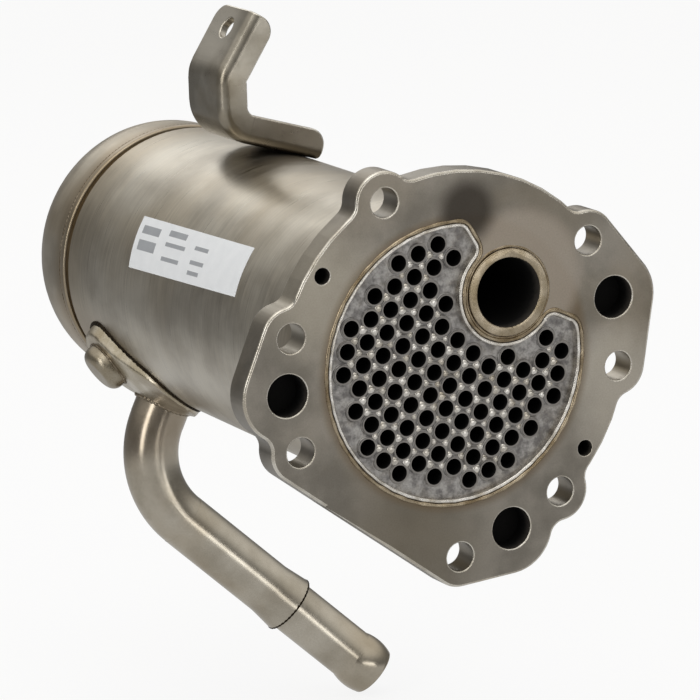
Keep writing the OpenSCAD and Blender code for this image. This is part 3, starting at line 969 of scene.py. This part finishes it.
@dataclass
class TubeBundle:
    """The gas tubes, in rows on a triangular lattice, with a ring of braze round each.

    Attributes:
        pitch: Distance between neighbouring tubes.
        tube_d: A tube's outer diameter.
        reach: Largest distance of a tube from the shell axis.
        turn: Direction of the return tube, in degrees.
        return_offset: Distance of the return tube from the shell axis.
        return_clear: Space kept free round the return tube's axis.
        plate_y: Depth of the tube plate's face behind the flange face.
        rows: Number of rows of tubes.
        first_row: Number of the first row, where row 0 runs through the shell axis.
        places: Largest number of tubes in a row on each side of its middle.
        near: Largest distance between neighbours, in pitches.
        ring_gap: Distance of a braze ring's line from its tube.
        ring_bead: Thickness radius of a braze ring.
        ring_draw: Unevenness and seed of the rings.
        pool_r: Radius of a pool of braze.
        pool_height: Height of a pool of braze.
        pool_draw: Unevenness and seed of the pools.
    """

    pitch: float = 7.0
    tube_d: float = 6.0
    reach: float = 37.2
    turn: float = 49.5
    return_offset: float = 26.9
    return_clear: float = 20.0
    plate_y: float = 2.0
    rows: int = 11
    first_row: int = -6
    places: int = 6
    near: float = 1.05
    ring_gap: float = 0.12
    ring_bead: float = 0.32
    ring_draw: tuple[float, int] = (0.03, 7)
    pool_r: float = 1.25
    pool_height: float = 0.5
    pool_draw: tuple[float, int] = (0.25, 11)

    def centres(self) -> list[Vector]:
        """Lists the tubes' centres on the tube plate's face.

        Returns:
            The centres in metres.
        """
        wide, high = math.sin(math.radians(self.turn)), math.cos(math.radians(self.turn))
        home = (self.return_offset * high, self.return_offset * wide)
        found = []
        for row in range(self.first_row, self.first_row + self.rows):
            for place in range(-self.places, self.places + 1):
                along = self.pitch * (place + (0.0 if row % 2 == 0 else 0.5))
                up = self.pitch * math.sqrt(3) / 2 * row
                x, z = along * wide + up * high, up * wide - along * high
                clear = math.hypot(x - home[0], z - home[1]) > self.return_clear
                if clear and math.hypot(x, z) <= self.reach:
                    found.append(Vector((x, self.plate_y, z)) * MM)
        return found

    def dress(self, tube: Material, steel: Material) -> None:
        """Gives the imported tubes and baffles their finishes.

        Args:
            tube: Finish of the tubes.
            steel: Finish of the baffles.
        """
        finishes = {f"tube_row_{row:02d}": tube for row in range(1, self.rows + 1)}
        finishes |= {"front_baffle": steel, "rear_baffle": steel}
        for name, finish in finishes.items():
            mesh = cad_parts[name].data
            mesh.materials.clear()
            mesh.materials.append(finish)

    def build_braze(self, finish: Material) -> None:
        """Makes the rings of braze between the tubes and the plate.

        Args:
            finish: Finish of the rings.
        """
        uneven, seed = self.ring_draw
        obj = braze_recipe().make("tube_braze", self.centres(), [], {
            "Ring Radius": (self.tube_d / 2 + self.ring_gap) * MM, "Bead Radius": self.ring_bead * MM,
            "Unevenness": uneven, "Seed": seed, "Finish": finish})
        adopt(obj, Slot.PLATE)

    def build_pools(self, finish: Material) -> None:
        """Makes the pools of braze in the corners between three tubes.

        Args:
            finish: Finish of the pools.
        """
        spots, near = self.centres(), self.near * self.pitch * MM
        beside = {i: {j for j in range(i) if (spots[i] - spots[j]).length < near} for i in range(len(spots))}
        corners = [(spots[i] + spots[j] + spots[k]) / 3 for i in beside for j in beside[i]
                   for k in beside[i].intersection(beside[j])]
        uneven, seed = self.pool_draw
        obj = pool_recipe().make("corner_braze", corners, [], {
            "Pool Radius": self.pool_r * MM, "Pool Height": self.pool_height * MM,
            "Unevenness": uneven, "Seed": seed, "Finish": finish})
        adopt(obj, Slot.PLATE)


@dataclass
class Jacket:
    """The coolant shell with its sticker and the weld behind the flange.

    Attributes:
        radius: The shell's outer radius.
        flange_back: Depth of the flange's rear face.
        sticker: The sticker's corners as depth and angle: rear top, front top, front low, rear low.
        lift: How far the sticker's face stands off the shell.
        foot: How far its underside does.
        grid: Number of its faces along its length and height.
        bars: Plain print bars as shares of the sticker's length and height.
        weld_offset: Distance of the weld's middle from the shell and from the flange.
        weld_r: Radius of the weld.
        weld_pitch: Distance between its ripples.
    """

    radius: float = 45.0
    flange_back: float = 9.5
    sticker: tuple[Span, ...] = ((144.7, 146.0), (65.5, 142.3), (64.2, 163.2), (142.6, 168.1))
    lift: float = 0.12
    foot: float = 0.01
    grid: tuple[int, int] = (50, 25)
    bars: tuple[tuple[float, float, float, float], ...] = (
        (0.04, 0.20, 0.14, 0.34), (0.04, 0.20, 0.44, 0.64), (0.28, 0.44, 0.12, 0.24),
        (0.28, 0.46, 0.34, 0.44), (0.28, 0.44, 0.62, 0.74), (0.54, 0.66, 0.26, 0.38),
        (0.54, 0.66, 0.54, 0.64), (0.54, 0.64, 0.76, 0.84))
    weld_offset: float = 0.3
    weld_r: float = 1.2
    weld_pitch: float = 1.8

    def build_shell(self, steel: Material) -> None:
        """Makes the smooth shell in its finish."""
        obj = new_object("jacket", finished_mesh("jacket", merged_mesh("shell")), steel)
        adopt(obj, Slot.SHELL, "shell")

    def spot(self, u: float, v: float, lift: float) -> Vector:
        """Gives a point of the sticker.

        Args:
            u: Share of its length, from the rear.
            v: Share of its height, from the top.
            lift: Distance off the shell.

        Returns:
            The point in metres.
        """
        (y0, a0), (y1, a1), (y2, a2), (y3, a3) = self.sticker
        top = (y0 + (y1 - y0) * u, a0 + (a1 - a0) * u)
        low = (y3 + (y2 - y3) * u, a3 + (a2 - a3) * u)
        y, angle = (start + (end - start) * v for start, end in zip(top, low))
        return polar(self.radius + lift, angle, y)

    def build_sticker(self, paper: Material, ink: Material) -> None:
        """Makes the curved blank sticker with its plain bars.

        Args:
            paper: Finish of the sticker.
            ink: Finish of the bars.
        """
        across, up = self.grid
        work = bmesh.new()
        grid = [[work.verts.new(self.spot(i / across, j / up, self.lift)) for i in range(across + 1)]
                for j in range(up + 1)]
        rim = [(0, i) for i in range(across)] + [(j, across) for j in range(up)]
        rim += [(up, i) for i in range(across, 0, -1)] + [(j, 0) for j in range(up, 0, -1)]
        foot = [work.verts.new(self.spot(i / across, j / up, self.foot)) for j, i in rim]
        for j in range(up):
            for i in range(across):
                face = work.faces.new((grid[j][i], grid[j][i + 1], grid[j + 1][i + 1], grid[j + 1][i]))
                u, v = (i + 0.5) / across, (j + 0.5) / up
                face.material_index = int(any(a < u < b and c < v < d for a, b, c, d in self.bars))
        count = len(rim)
        for k in range(count):
            (j, i), (jn, im) = rim[k], rim[(k + 1) % count]
            work.faces.new((grid[j][i], foot[k], foot[(k + 1) % count], grid[jn][im]))
        work.faces.new(foot)
        bmesh.ops.recalc_face_normals(work, faces=work.faces)
        obj = new_object("sticker", finished_mesh("sticker", work, CRISP_COARSE), paper, ink)
        adopt(obj, Slot.SHELL)

    def weld_to_flange(self, welder: Welder) -> None:
        """Lays the bead between the shell and the flange's rear face."""
        ring = circle(self.radius + self.weld_offset, self.flange_back + self.weld_offset)
        welder.lay("flange_weld", ring, Slot.SHELL, self.weld_r, self.weld_pitch)


@dataclass
class RearEnd:
    """The rear tube plate's rim, the cap and the seam between them.

    Attributes:
        rim_edge: Width to which the rim's outer edges are rounded.
        bead_r: Radius of the seam's bead.
        bead_pitch: Distance between the bead's ripples.
    """

    rim_edge: float = 0.9
    bead_r: float = 0.5
    bead_pitch: float = 1.4

    def build(self, steel: Material, welder: Welder) -> None:
        """Makes the rim, the cap and their seam.

        Args:
            steel: Finish of rim and cap.
            welder: Lays the seam.
        """
        work = merged_mesh("rear_tube_plate")
        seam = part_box("rear_cap")
        outer = seam[1][0]
        broken_edges(work, lambda point: 1.0 if math.hypot(point.x, point.z) > outer else 0.0)
        obj = new_object("rear_rim", finished_mesh("rear_rim", work), steel)
        break_edges(obj, self.rim_edge)
        adopt(obj, Slot.END, "rear_tube_plate")
        obj = new_object("cap", finished_mesh("cap", merged_mesh("rear_cap")), steel)
        adopt(obj, Slot.END, "rear_cap")
        ring = circle(outer / MM, seam[0][1] / MM)
        welder.lay("cap_seam", ring, Slot.END, self.bead_r, self.bead_pitch)


@dataclass
class CoolantPipe:
    """The bent coolant pipe with its hose end, its saddle and the closed boss.

    Attributes:
        y: Distance of the root behind the flange face.
        angle: Direction of the root, in degrees.
        pipe_r: Radius of the pipe.
        boss_angle: Direction of the boss.
        boss_r: Radius of the boss.
        saddle_top: Radius of the saddle's outer face.
        saddle_end_r: Radius of the saddle's round ends.
        saddle_reach: Distance from the pipe's root to the saddle's front edge.
        saddle_front_r: Corner radius of that edge.
        saddle_grid: Size of the faces on which the saddle's edges are rounded.
        saddle_passes: How often they are smoothed.
        shell_r: Radius of the shell.
        corner_r: Distance of the bend's corner from the shell axis.
        run_turn: Turn of the long run from +X towards the front, in degrees.
        run_drop: Fall of the long run, in degrees.
        run: Distance from the corner to the socket's end.
        socket_r: Radius of the socket's edge.
        saddle_bead: Radius of the bead between saddle and shell.
        pipe_bead: Radius of the bead between pipe and saddle.
        boss_bead: Radius of the bead between boss and saddle.
        socket_bead: Radius of the braze at the socket's end.
    """

    y: float = 172.0
    angle: float = 246.5
    pipe_r: float = 9.25
    boss_angle: float = 216.5
    boss_r: float = 8.25
    saddle_top: float = 48.8
    saddle_end_r: float = 11.45
    saddle_reach: float = 32.0
    saddle_front_r: float = 14.0
    saddle_grid: float = 0.5
    saddle_passes: int = 8
    shell_r: float = 45.0
    corner_r: float = 75.6
    run_turn: float = 13.0
    run_drop: float = 41.0
    run: float = 70.0
    socket_r: float = 9.95
    saddle_bead: float = 0.7
    pipe_bead: float = 0.8
    boss_bead: float = 0.5
    socket_bead: float = 0.4

    def on_round(self, radius: float, angle: float, across: float, along: float) -> Vector:
        """Drops a point of a plan view on a round surface.

        Args:
            radius: The surface's radius.
            angle: Direction of the plan's middle, in degrees.
            across: Offset round the shell.
            along: Offset along the shell.

        Returns:
            The point in metres.
        """
        out, side = polar(1 / MM, angle), polar(1 / MM, angle + 90)
        height = math.sqrt(radius ** 2 - across ** 2)
        return (out * height + side * across + Vector((0, self.y + along, 0))) * MM

    def ring(self, radius: float, angle: float, size: float) -> list[Vector]:
        """Lists the points of a circle in plan, dropped on a round surface."""
        return [self.on_round(radius, angle, size * math.cos(t), size * math.sin(t))
                for t in full_turn(RING_POINTS)]

    def oval(self) -> list[Vector]:
        """Lists the saddle's outline where it meets the shell.

        Returns:
            Points of the line drawn tight round the saddle's three circles.
        """
        half = (self.angle - self.boss_angle) / 2
        length = self.saddle_top * math.sin(math.radians(half))
        circles = [(length, 0.0, self.saddle_end_r), (-length, 0.0, self.saddle_end_r),
                   (0.0, self.saddle_front_r - self.saddle_reach, self.saddle_front_r)]
        points = []
        for angle in range(0, 360, 3):
            u, v = math.cos(math.radians(angle)), math.sin(math.radians(angle))
            across, along, radius = max(circles, key=lambda c: c[0] * u + c[1] * v + c[2])
            points.append(self.on_round(
                self.shell_r, self.boss_angle + half, across + radius * u, along + radius * v))
        return points

    def joint(self) -> list[Vector]:
        """Lists the points of the ring round the socket's end, where the hose end leaves it.

        Returns:
            The ring's points in metres.
        """
        turn, drop = math.radians(self.run_turn), math.radians(self.run_drop)
        way = Vector((math.cos(drop) * math.cos(turn), -math.cos(drop) * math.sin(turn), -math.sin(drop)))
        middle = polar(self.corner_r, self.angle, self.y) + way * self.run * MM
        side = way.orthogonal().normalized()
        up = way.cross(side)
        return [middle + (side * math.cos(t) + up * math.sin(t)) * self.socket_r * MM
                for t in full_turn(JOINT_POINTS)]

    def build(self, steel: Material, tinted: Material, welder: Welder, brazer: Welder) -> None:
        """Makes the four pieces and their beads.

        Args:
            steel: Finish of the pipe and its hose end.
            tinted: Finish of the saddle and the boss.
            welder: Lays the welds at the roots of pipe and boss.
            brazer: Lays the dark joints under the saddle and at the socket, whose near-black finish also
                paints the shade in those gaps.
        """
        for name, node, finish in (("saddle", "pipe_saddle", tinted), ("boss", "blind_boss", tinted),
                                   ("pipe", "coolant_pipe", steel), ("spigot", "hose_end", steel)):
            obj = new_object(name, finished_mesh(name, merged_mesh(node)), finish)
            if name == "saddle":
                soften(obj, self.saddle_grid, self.saddle_passes)
            adopt(obj, Slot.PIPE, node)
        pipe_root = self.ring(self.saddle_top, self.angle, self.pipe_r)
        boss_root = self.ring(self.saddle_top, self.boss_angle, self.boss_r)
        brazer.lay("saddle_weld", self.oval(), Slot.PIPE, self.saddle_bead)
        welder.lay("pipe_weld", pipe_root, Slot.PIPE, self.pipe_bead)
        welder.lay("boss_weld", boss_root, Slot.PIPE, self.boss_bead)
        brazer.lay("socket_braze", self.joint(), Slot.PIPE, self.socket_bead)


@dataclass
class Stay:
    """The bent support bracket.

    Attributes:
        edge: Width to which its sheared edges are broken.
    """

    edge: float = 0.5

    def build(self, steel: Material, edge: Material) -> None:
        """Makes the bracket with softened edges in a lighter finish, which paints their highlight.

        Args:
            steel: Finish of the strip.
            edge: Finish of its edges, lighter than the strip as a painted highlight.
        """
        work = merged_mesh("support_bracket")
        broken_edges(work, lambda point: 1.0, BREAK_FOLD)
        obj = new_object("stay", finished_mesh("stay", work, CRISP_COARSE), steel, edge)
        # The broken edges take the second, lighter finish: a painted highlight
        break_edges(obj, self.edge, 1)
        adopt(obj, Slot.BRACKET, "support_bracket")


@dataclass(frozen=True)
class Lamp:
    """A soft box that faces the cooler.

    Attributes:
        name: Its name.
        place: Where it stands, in metres.
        size: Its width and height in metres.
        radiance: How bright its face is, where 1 is the white of the background.
    """

    name: str
    place: Place
    size: Span
    radiance: float

    def build(self, target: Vector) -> None:
        """Puts the lamp into the scene.

        Args:
            target: The point that it faces.
        """
        data = bpy.data.lights.new(self.name, "AREA")
        data.shape = "RECTANGLE"
        data.size, data.size_y = self.size
        data.energy = self.radiance * math.pi * self.size[0] * self.size[1]
        obj = bpy.data.objects.new(self.name, data)
        obj.location = self.place
        obj.rotation_euler = (target - Vector(self.place)).to_track_quat("-Z", "Y").to_euler()
        bpy.context.scene.collection.objects.link(obj)


@dataclass
class Studio:
    """Pale floor, white surroundings, soft boxes and the camera.

    Attributes:
        target: The point that the lamps face, in metres.
        floor_drop: How far the floor lies under the cooler's lowest point, in metres.
        floor_half: Half the floor's width, in metres.
        floor_white: Share of plain white on the floor where the camera sees it; the rest takes the shadow.
        pool_centre: Middle of the lit part of the floor that the metal mirrors, in metres.
        pool_reach: Distances from there at which it starts to fade and has faded, in metres.
        pool_light: How bright it is in the metal, there and further out.
        room_band: Heights of a direction, from -1 to 1, between which the room gets lighter.
        room_light: How bright the room is under and over that band.
        mirror_share: Share of plain white in the room that the metal mirrors.
        camera_place: Where the camera stands, in metres.
        camera_right: Direction of the picture's right side.
        camera_up: Direction of the picture's top.
        sensor_mm: Width of the camera's sensor.
        lens_mm: Focal length on that sensor.
        sight: How far the camera sees, in metres.
        lamps: The soft boxes.
    """

    target: Place = (0.0, 0.09, 0.0)
    floor_drop: float = 0.0005
    floor_half: float = 6.0
    floor_white: float = 0.86
    pool_centre: Span = (0.1, -0.8)
    pool_reach: Span = (1.14, 1.5)
    pool_light: Span = (0.64, 0.28)
    room_band: Span = (0.15, 0.62)
    room_light: Span = (0.2, 0.9)
    mirror_share: float = 0.04
    camera_place: Place = (-0.62147, -1.16708, 0.27854)
    camera_right: Place = (0.89374, -0.44858, 0.0)
    camera_up: Place = (0.09114, 0.18158, 0.97914)
    sensor_mm: float = 36.0
    lens_mm: float = 231.43
    sight: float = 50.0
    lamps: tuple[Lamp, ...] = (
        Lamp("back_top_box", (0.3, 1.25, 0.7), (0.9, 0.4), 1.1),
        Lamp("left_box", (-1.2, -0.4, 0.34), (0.35, 0.95), 3.4),
        Lamp("front_strip", (0.35, -1.6, -0.02), (1.2, 0.24), 2.6),
        Lamp("top_box", (-0.3, -0.3, 1.3), (1.0, 1.0), 1.2))

    def seen(self, tree: Tree, path: bpy.types.NodeOutputs) -> Socket:
        """Gives 1 for rays from the camera or through glass, and 0 for all others."""
        return reckon(tree, "MAXIMUM", path["Is Camera Ray"], path["Is Transmission Ray"])

    def build_floor(self) -> None:
        """Lays the floor: white to the eye, a lit pool in mirrors, with the cooler's soft shadow."""
        height, half = CAD_BOX[0][2] - self.floor_drop, self.floor_half
        corners = [(-half, -half, height), (half, -half, height), (half, half, height), (-half, half, height)]
        mesh = bpy.data.meshes.new("floor")
        mesh.from_pydata(corners, [], [(0, 1, 2, 3)])
        # Matt near-white board under the cooler
        material, tree = new_material("pale_floor")
        path = add_node(tree, "ShaderNodeLightPath").outputs
        matt = add_node(tree, "ShaderNodeBsdfDiffuse", {"Color": linear("#e8e8e8")})
        coords = add_node(tree, "ShaderNodeTexCoord").outputs["Object"]
        centre = (*self.pool_centre, height)
        away = add_node(tree, "ShaderNodeVectorMath", {0: coords, 1: centre}, operation="DISTANCE")
        pool = remap(tree, away.outputs["Value"], self.pool_reach, self.pool_light)
        shine = add_node(tree, "ShaderNodeMix", {0: path["Is Glossy Ray"], 2: 1.0, 3: pool})
        white = add_node(tree, "ShaderNodeEmission", {
            "Color": linear("#ffffff"), "Strength": shine.outputs[0]})
        eye = reckon(tree, "MULTIPLY", self.seen(tree, path), self.floor_white)
        share = reckon(tree, "MAXIMUM", eye, path["Is Glossy Ray"])
        mixed = add_node(tree, "ShaderNodeMixShader", {0: share, 1: matt.outputs[0], 2: white.outputs[0]})
        add_node(tree, "ShaderNodeOutputMaterial", {"Surface": mixed.outputs[0]})
        new_object("floor", mesh, material)

    def build_world(self) -> None:
        """Makes the surroundings: white where seen, a softer grey room towards the horizon for the light."""
        world = bpy.data.worlds.new("studio")
        world.use_nodes = True
        tree = world.node_tree
        tree.nodes.clear()
        coords = add_node(tree, "ShaderNodeTexCoord").outputs["Generated"]
        height = add_node(tree, "ShaderNodeSeparateXYZ", {0: coords}).outputs[2]
        light = remap(tree, height, self.room_band, self.room_light)
        room = add_node(tree, "ShaderNodeBackground", {"Color": linear("#fffdf9"), "Strength": light})
        white = add_node(tree, "ShaderNodeBackground", {"Color": linear("#ffffff"), "Strength": 1.0})
        path = add_node(tree, "ShaderNodeLightPath").outputs
        mirror = reckon(tree, "MULTIPLY", path["Is Glossy Ray"], self.mirror_share)
        share = reckon(tree, "MAXIMUM", self.seen(tree, path), mirror)
        mixed = add_node(tree, "ShaderNodeMixShader", {0: share, 1: room.outputs[0], 2: white.outputs[0]})
        add_node(tree, "ShaderNodeOutputWorld", {"Surface": mixed.outputs[0]})
        bpy.context.scene.world = world

    def build_camera(self) -> None:
        """Stands the camera where the photograph was taken from."""
        data = bpy.data.cameras.new("photo_camera")
        data.sensor_width = self.sensor_mm
        data.lens = self.lens_mm
        data.clip_end = self.sight
        right, up = Vector(self.camera_right), Vector(self.camera_up)
        turn = Matrix((right, up, right.cross(up))).transposed().to_4x4()
        obj = bpy.data.objects.new("photo_camera", data)
        obj.matrix_world = Matrix.Translation(self.camera_place) @ turn
        bpy.context.scene.collection.objects.link(obj)
        bpy.context.scene.camera = obj

    def build(self) -> None:
        """Builds the whole studio."""
        bpy.context.scene.view_settings.view_transform = "Standard"
        self.build_floor()
        self.build_world()
        for lamp in self.lamps:
            lamp.build(Vector(self.target))
        self.build_camera()


# Patches on the finishes, most left by wiping, handling and heat, with a painted shade on the bracket's foot
# and a plain dark spot and pale patch: what they are measured from and where, distances at which they start
# to fade and have faded, colour and strength
KIDNEY_HEAT = Stain(Reach.COLUMN, (0, 0, 0), 43.8, 47.0, "#6c5b44", 0.6)
COLLAR_WIPED = Stain(Reach.COLUMN, (20.0, 0, 23.4), 19.0, 25.0, "#a1978a", 0.75)
# Soft dark spot on the flange face above the tube plate
FACE_DARK_SPOT = Stain(Reach.COLUMN, (3.5, 0, 46.5), 5.5, 13.0, "#3f3a34", 0.92)
WIPED_RIGHT = Stain(Reach.COLUMN, (54.0, 0, -10.0), 8.0, 26.0, "#bfb8ab", 0.55)
WIPED_LEFT = Stain(Reach.COLUMN, (-46.0, 0, 24.0), 8.0, 28.0, "#b2aa9a", 0.5)
DULL_LOW = Stain(Reach.COLUMN, (-16.0, 0, -54.0), 10.0, 34.0, "#6f685b", 0.7)
DULL_RIGHT = Stain(Reach.COLUMN, (33.0, 0, 46.0), 6.0, 22.0, "#787062", 0.6)
FRONT_HEAT = Stain(Reach.SLICE, (0, 0, 0), 12.0, 40.0, "#a09380", 0.5)
REAR_HEAT = Stain(Reach.SLICE, (0, 194, 0), 6.0, 26.0, "#a3967f", 0.5)
SEAM_HEAT = Stain(Reach.SLICE, (0, 197, 0), 2.0, 9.0, "#8c7b60", 0.6)
ROOT_HEAT = Stain(Reach.BALL, (-28.0, 172.0, -35.8), 19.0, 34.0, "#83705a", 0.45)
BOSS_DULL = Stain(Reach.BALL, (-42.2, 172.0, -31.2), 8.5, 12.0, "#857b69", 0.6)
# Painted shade on the bracket's foot, which lies close over the shell
FOOT_PAINTED_SHADE = Stain(Reach.BALL, (12.0, 132.0, 47.0), 14.0, 34.0, "#63594a", 0.7)
# Paler patch on the top of the bracket's arm
ARM_PALE_PATCH = Stain(Reach.BALL, (-12.0, 143.0, 84.0), 8.0, 17.0, "#d6d0c4", 0.65)

# Sawn and milled stainless plate: even satin grey with a fine grain, wiped and dulled in patches
FLANGE_STEEL = SteelFinish(
    "milled_stainless", "#928c82", "#757067", "#887c68", tint_share=0.4, cloud_mm=22.0, grain_mm=0.5,
    rough=(0.32, 0.44), relief=0.1, contrast=0.09,
    stains=(WIPED_RIGHT, WIPED_LEFT, DULL_LOW, DULL_RIGHT, KIDNEY_HEAT, COLLAR_WIPED, FACE_DARK_SPOT))
# Rolled stainless sheet, brushed round the barrel: long lines across the axis, coarser than real to show
SHELL_STEEL = SteelFinish(
    "brushed_stainless", "#c4beb1", "#a59e91", "#b0a289", tint_share=0.4, cloud_mm=30.0, grain_mm=0.7,
    rough=(0.27, 0.4), relief=0.16, contrast=0.12, stretch=(0.03, 1.0, 0.03),
    stains=(FRONT_HEAT, REAR_HEAT, ROOT_HEAT))
# Pressed stainless end pieces, tinted by the seam weld
END_STEEL = SteelFinish(
    "pressed_stainless", "#c2baab", "#a9a090", "#ac9b80", tint_share=0.5, cloud_mm=18.0, grain_mm=0.6,
    rough=(0.28, 0.4), relief=0.1, contrast=0.08, stretch=(0.05, 1.0, 0.05), stains=(SEAM_HEAT,))
# Drawn stainless tube: smooth and shiny, straw tinted
PIPE_STEEL = SteelFinish(
    "drawn_stainless", "#bfb8aa", "#a59d8e", "#a09075", tint_share=0.45, cloud_mm=20.0, grain_mm=0.5,
    rough=(0.17, 0.26), relief=0.04, contrast=0.06, stains=(ROOT_HEAT,))
# Pressed stainless saddle and boss: satin, browned all over by the welds round them
SADDLE_STEEL = SteelFinish(
    "heat_tinted_stainless", "#c9c1b0", "#aca28c", "#93836a", tint_share=0.6, cloud_mm=7.0, grain_mm=0.5,
    rough=(0.26, 0.38), relief=0.12, contrast=0.1, stains=(BOSS_DULL,))
# Stamped stainless strip: satin, with rolling marks, a painted shade on its foot and a paler patch on its arm
STAY_STEEL = SteelFinish(
    "stamped_stainless", "#a8a296", "#8b8579", "#948872", tint_share=0.4, cloud_mm=14.0, grain_mm=0.6,
    rough=(0.27, 0.31), relief=0.01, contrast=0.04, stretch=(0.25, 0.06, 0.25),
    stains=(FOOT_PAINTED_SHADE, ARM_PALE_PATCH))
# Edges of plate and strip: a finish lighter than the faces, which paints the highlight along the broken edges
EDGE_HIGHLIGHT_STEEL = SteelFinish(
    "stainless_edge_painted_highlight", "#dcd7cc", "#b9b2a5", "#bfb299", tint_share=0.35, cloud_mm=9.0, grain_mm=0.5,
    rough=(0.2, 0.32), relief=0.06, contrast=0.06)
# Nickel braze over stainless: grainy and frosted grey
BRAZED_STEEL = SteelFinish(
    "nickel_braze", "#a9a6a2", "#757270", "#8f877a", tint_share=0.3, cloud_mm=2.6, grain_mm=0.7,
    rough=(0.3, 0.6), relief=0.5, contrast=0.3)
# Nickel braze where it ran together or was rubbed: nearly white, smooth. The tube plate's rim takes it too,
# where its lightness paints the rim's highlight
BRIGHT_BRAZE_AND_RIM_HIGHLIGHT = SteelFinish(
    "bright_nickel_braze_and_rim_highlight", "#e6e2db", "#b9b3a8", "#a8987c", tint_share=0.35, cloud_mm=4.0, grain_mm=0.5,
    rough=(0.2, 0.36), relief=0.15, contrast=0.12)
# Braze fillets on the flange face: smooth, tan and brown from the furnace
FILLET_BRAZE = SteelFinish(
    "tan_braze", "#b3a58d", "#83735a", "#5a4b36", tint_share=0.6, cloud_mm=9.0, grain_mm=0.5,
    rough=(0.22, 0.36), relief=0.1, contrast=0.12)
# Thick stainless collar, browned by the gas
MOUTH_STEEL = SteelFinish(
    "browned_stainless", "#bdb09a", "#94866d", "#7c6a4f", tint_share=0.5, cloud_mm=9.0, grain_mm=0.5,
    rough=(0.22, 0.34), relief=0.1, contrast=0.1)
# Weld metal: rippled, brown and straw from the heat
WELD_STEEL = SteelFinish(
    "weld_metal", "#978b79", "#6b5f4e", "#62523b", tint_share=0.6, cloud_mm=4.0, grain_mm=0.5,
    rough=(0.28, 0.42), relief=0.2, contrast=0.15)
# Burnt braze metal in the pipe's joints: dull and dark brown, darkened further to paint the shade in the gaps
# at the saddle's edge and the socket
BURNT_BRAZE_AND_GAP_SHADE = SteelFinish(
    "burnt_braze_and_gap_shade", "#3d3428", "#2a231a", "#241c13", tint_share=0.6, cloud_mm=3.0, grain_mm=0.5,
    rough=(0.5, 0.65), relief=0.2, contrast=0.15)
# Stainless baffle sheet, a little browned
BAFFLE_STEEL = SteelFinish(
    "baffle_stainless", "#a29b8f", "#868074", "#8a7b66", tint_share=0.4, cloud_mm=12.0, grain_mm=0.5,
    rough=(0.26, 0.38), relief=0.08, contrast=0.08)
# White coated paper of the sticker, and the grey toner of its bars
LABEL_PAPER = PrintFinish("label_paper", "#e4e6e8", "#d6d9dc")
LABEL_TONER = PrintFinish("label_toner", "#8b8e92", "#9ea1a5")


def main() -> None:
    logging.basicConfig(level=logging.INFO, format="%(name)s %(message)s")
    soot, edge = SootAndShadeFinish().build(), EDGE_HIGHLIGHT_STEEL.build()
    # The light braze finish also paints the highlight on the tube plate's rim
    braze, bright = BRAZED_STEEL.build(), BRIGHT_BRAZE_AND_RIM_HIGHLIGHT.build()
    welder = Welder(WELD_STEEL.build())
    face = FlangeFace()
    face.build_flange(FLANGE_STEEL.build(), soot, edge)
    face.build_plate(braze, bright)
    face.build_mouth(MOUTH_STEEL.build(), soot)
    face.build_fillets(Welder(FILLET_BRAZE.build()))
    bundle = TubeBundle()
    bundle.dress(TubeEndFinish().build(), BAFFLE_STEEL.build())
    bundle.build_braze(braze)
    bundle.build_pools(bright)
    jacket = Jacket()
    jacket.build_shell(SHELL_STEEL.build())
    jacket.build_sticker(LABEL_PAPER.build(), LABEL_TONER.build())
    jacket.weld_to_flange(welder)
    RearEnd().build(END_STEEL.build(), welder)
    CoolantPipe().build(PIPE_STEEL.build(), SADDLE_STEEL.build(), welder, Welder(BURNT_BRAZE_AND_GAP_SHADE.build()))
    Stay().build(STAY_STEEL.build(), edge)
    Studio().build()


if __name__ == "__main__":
    main()
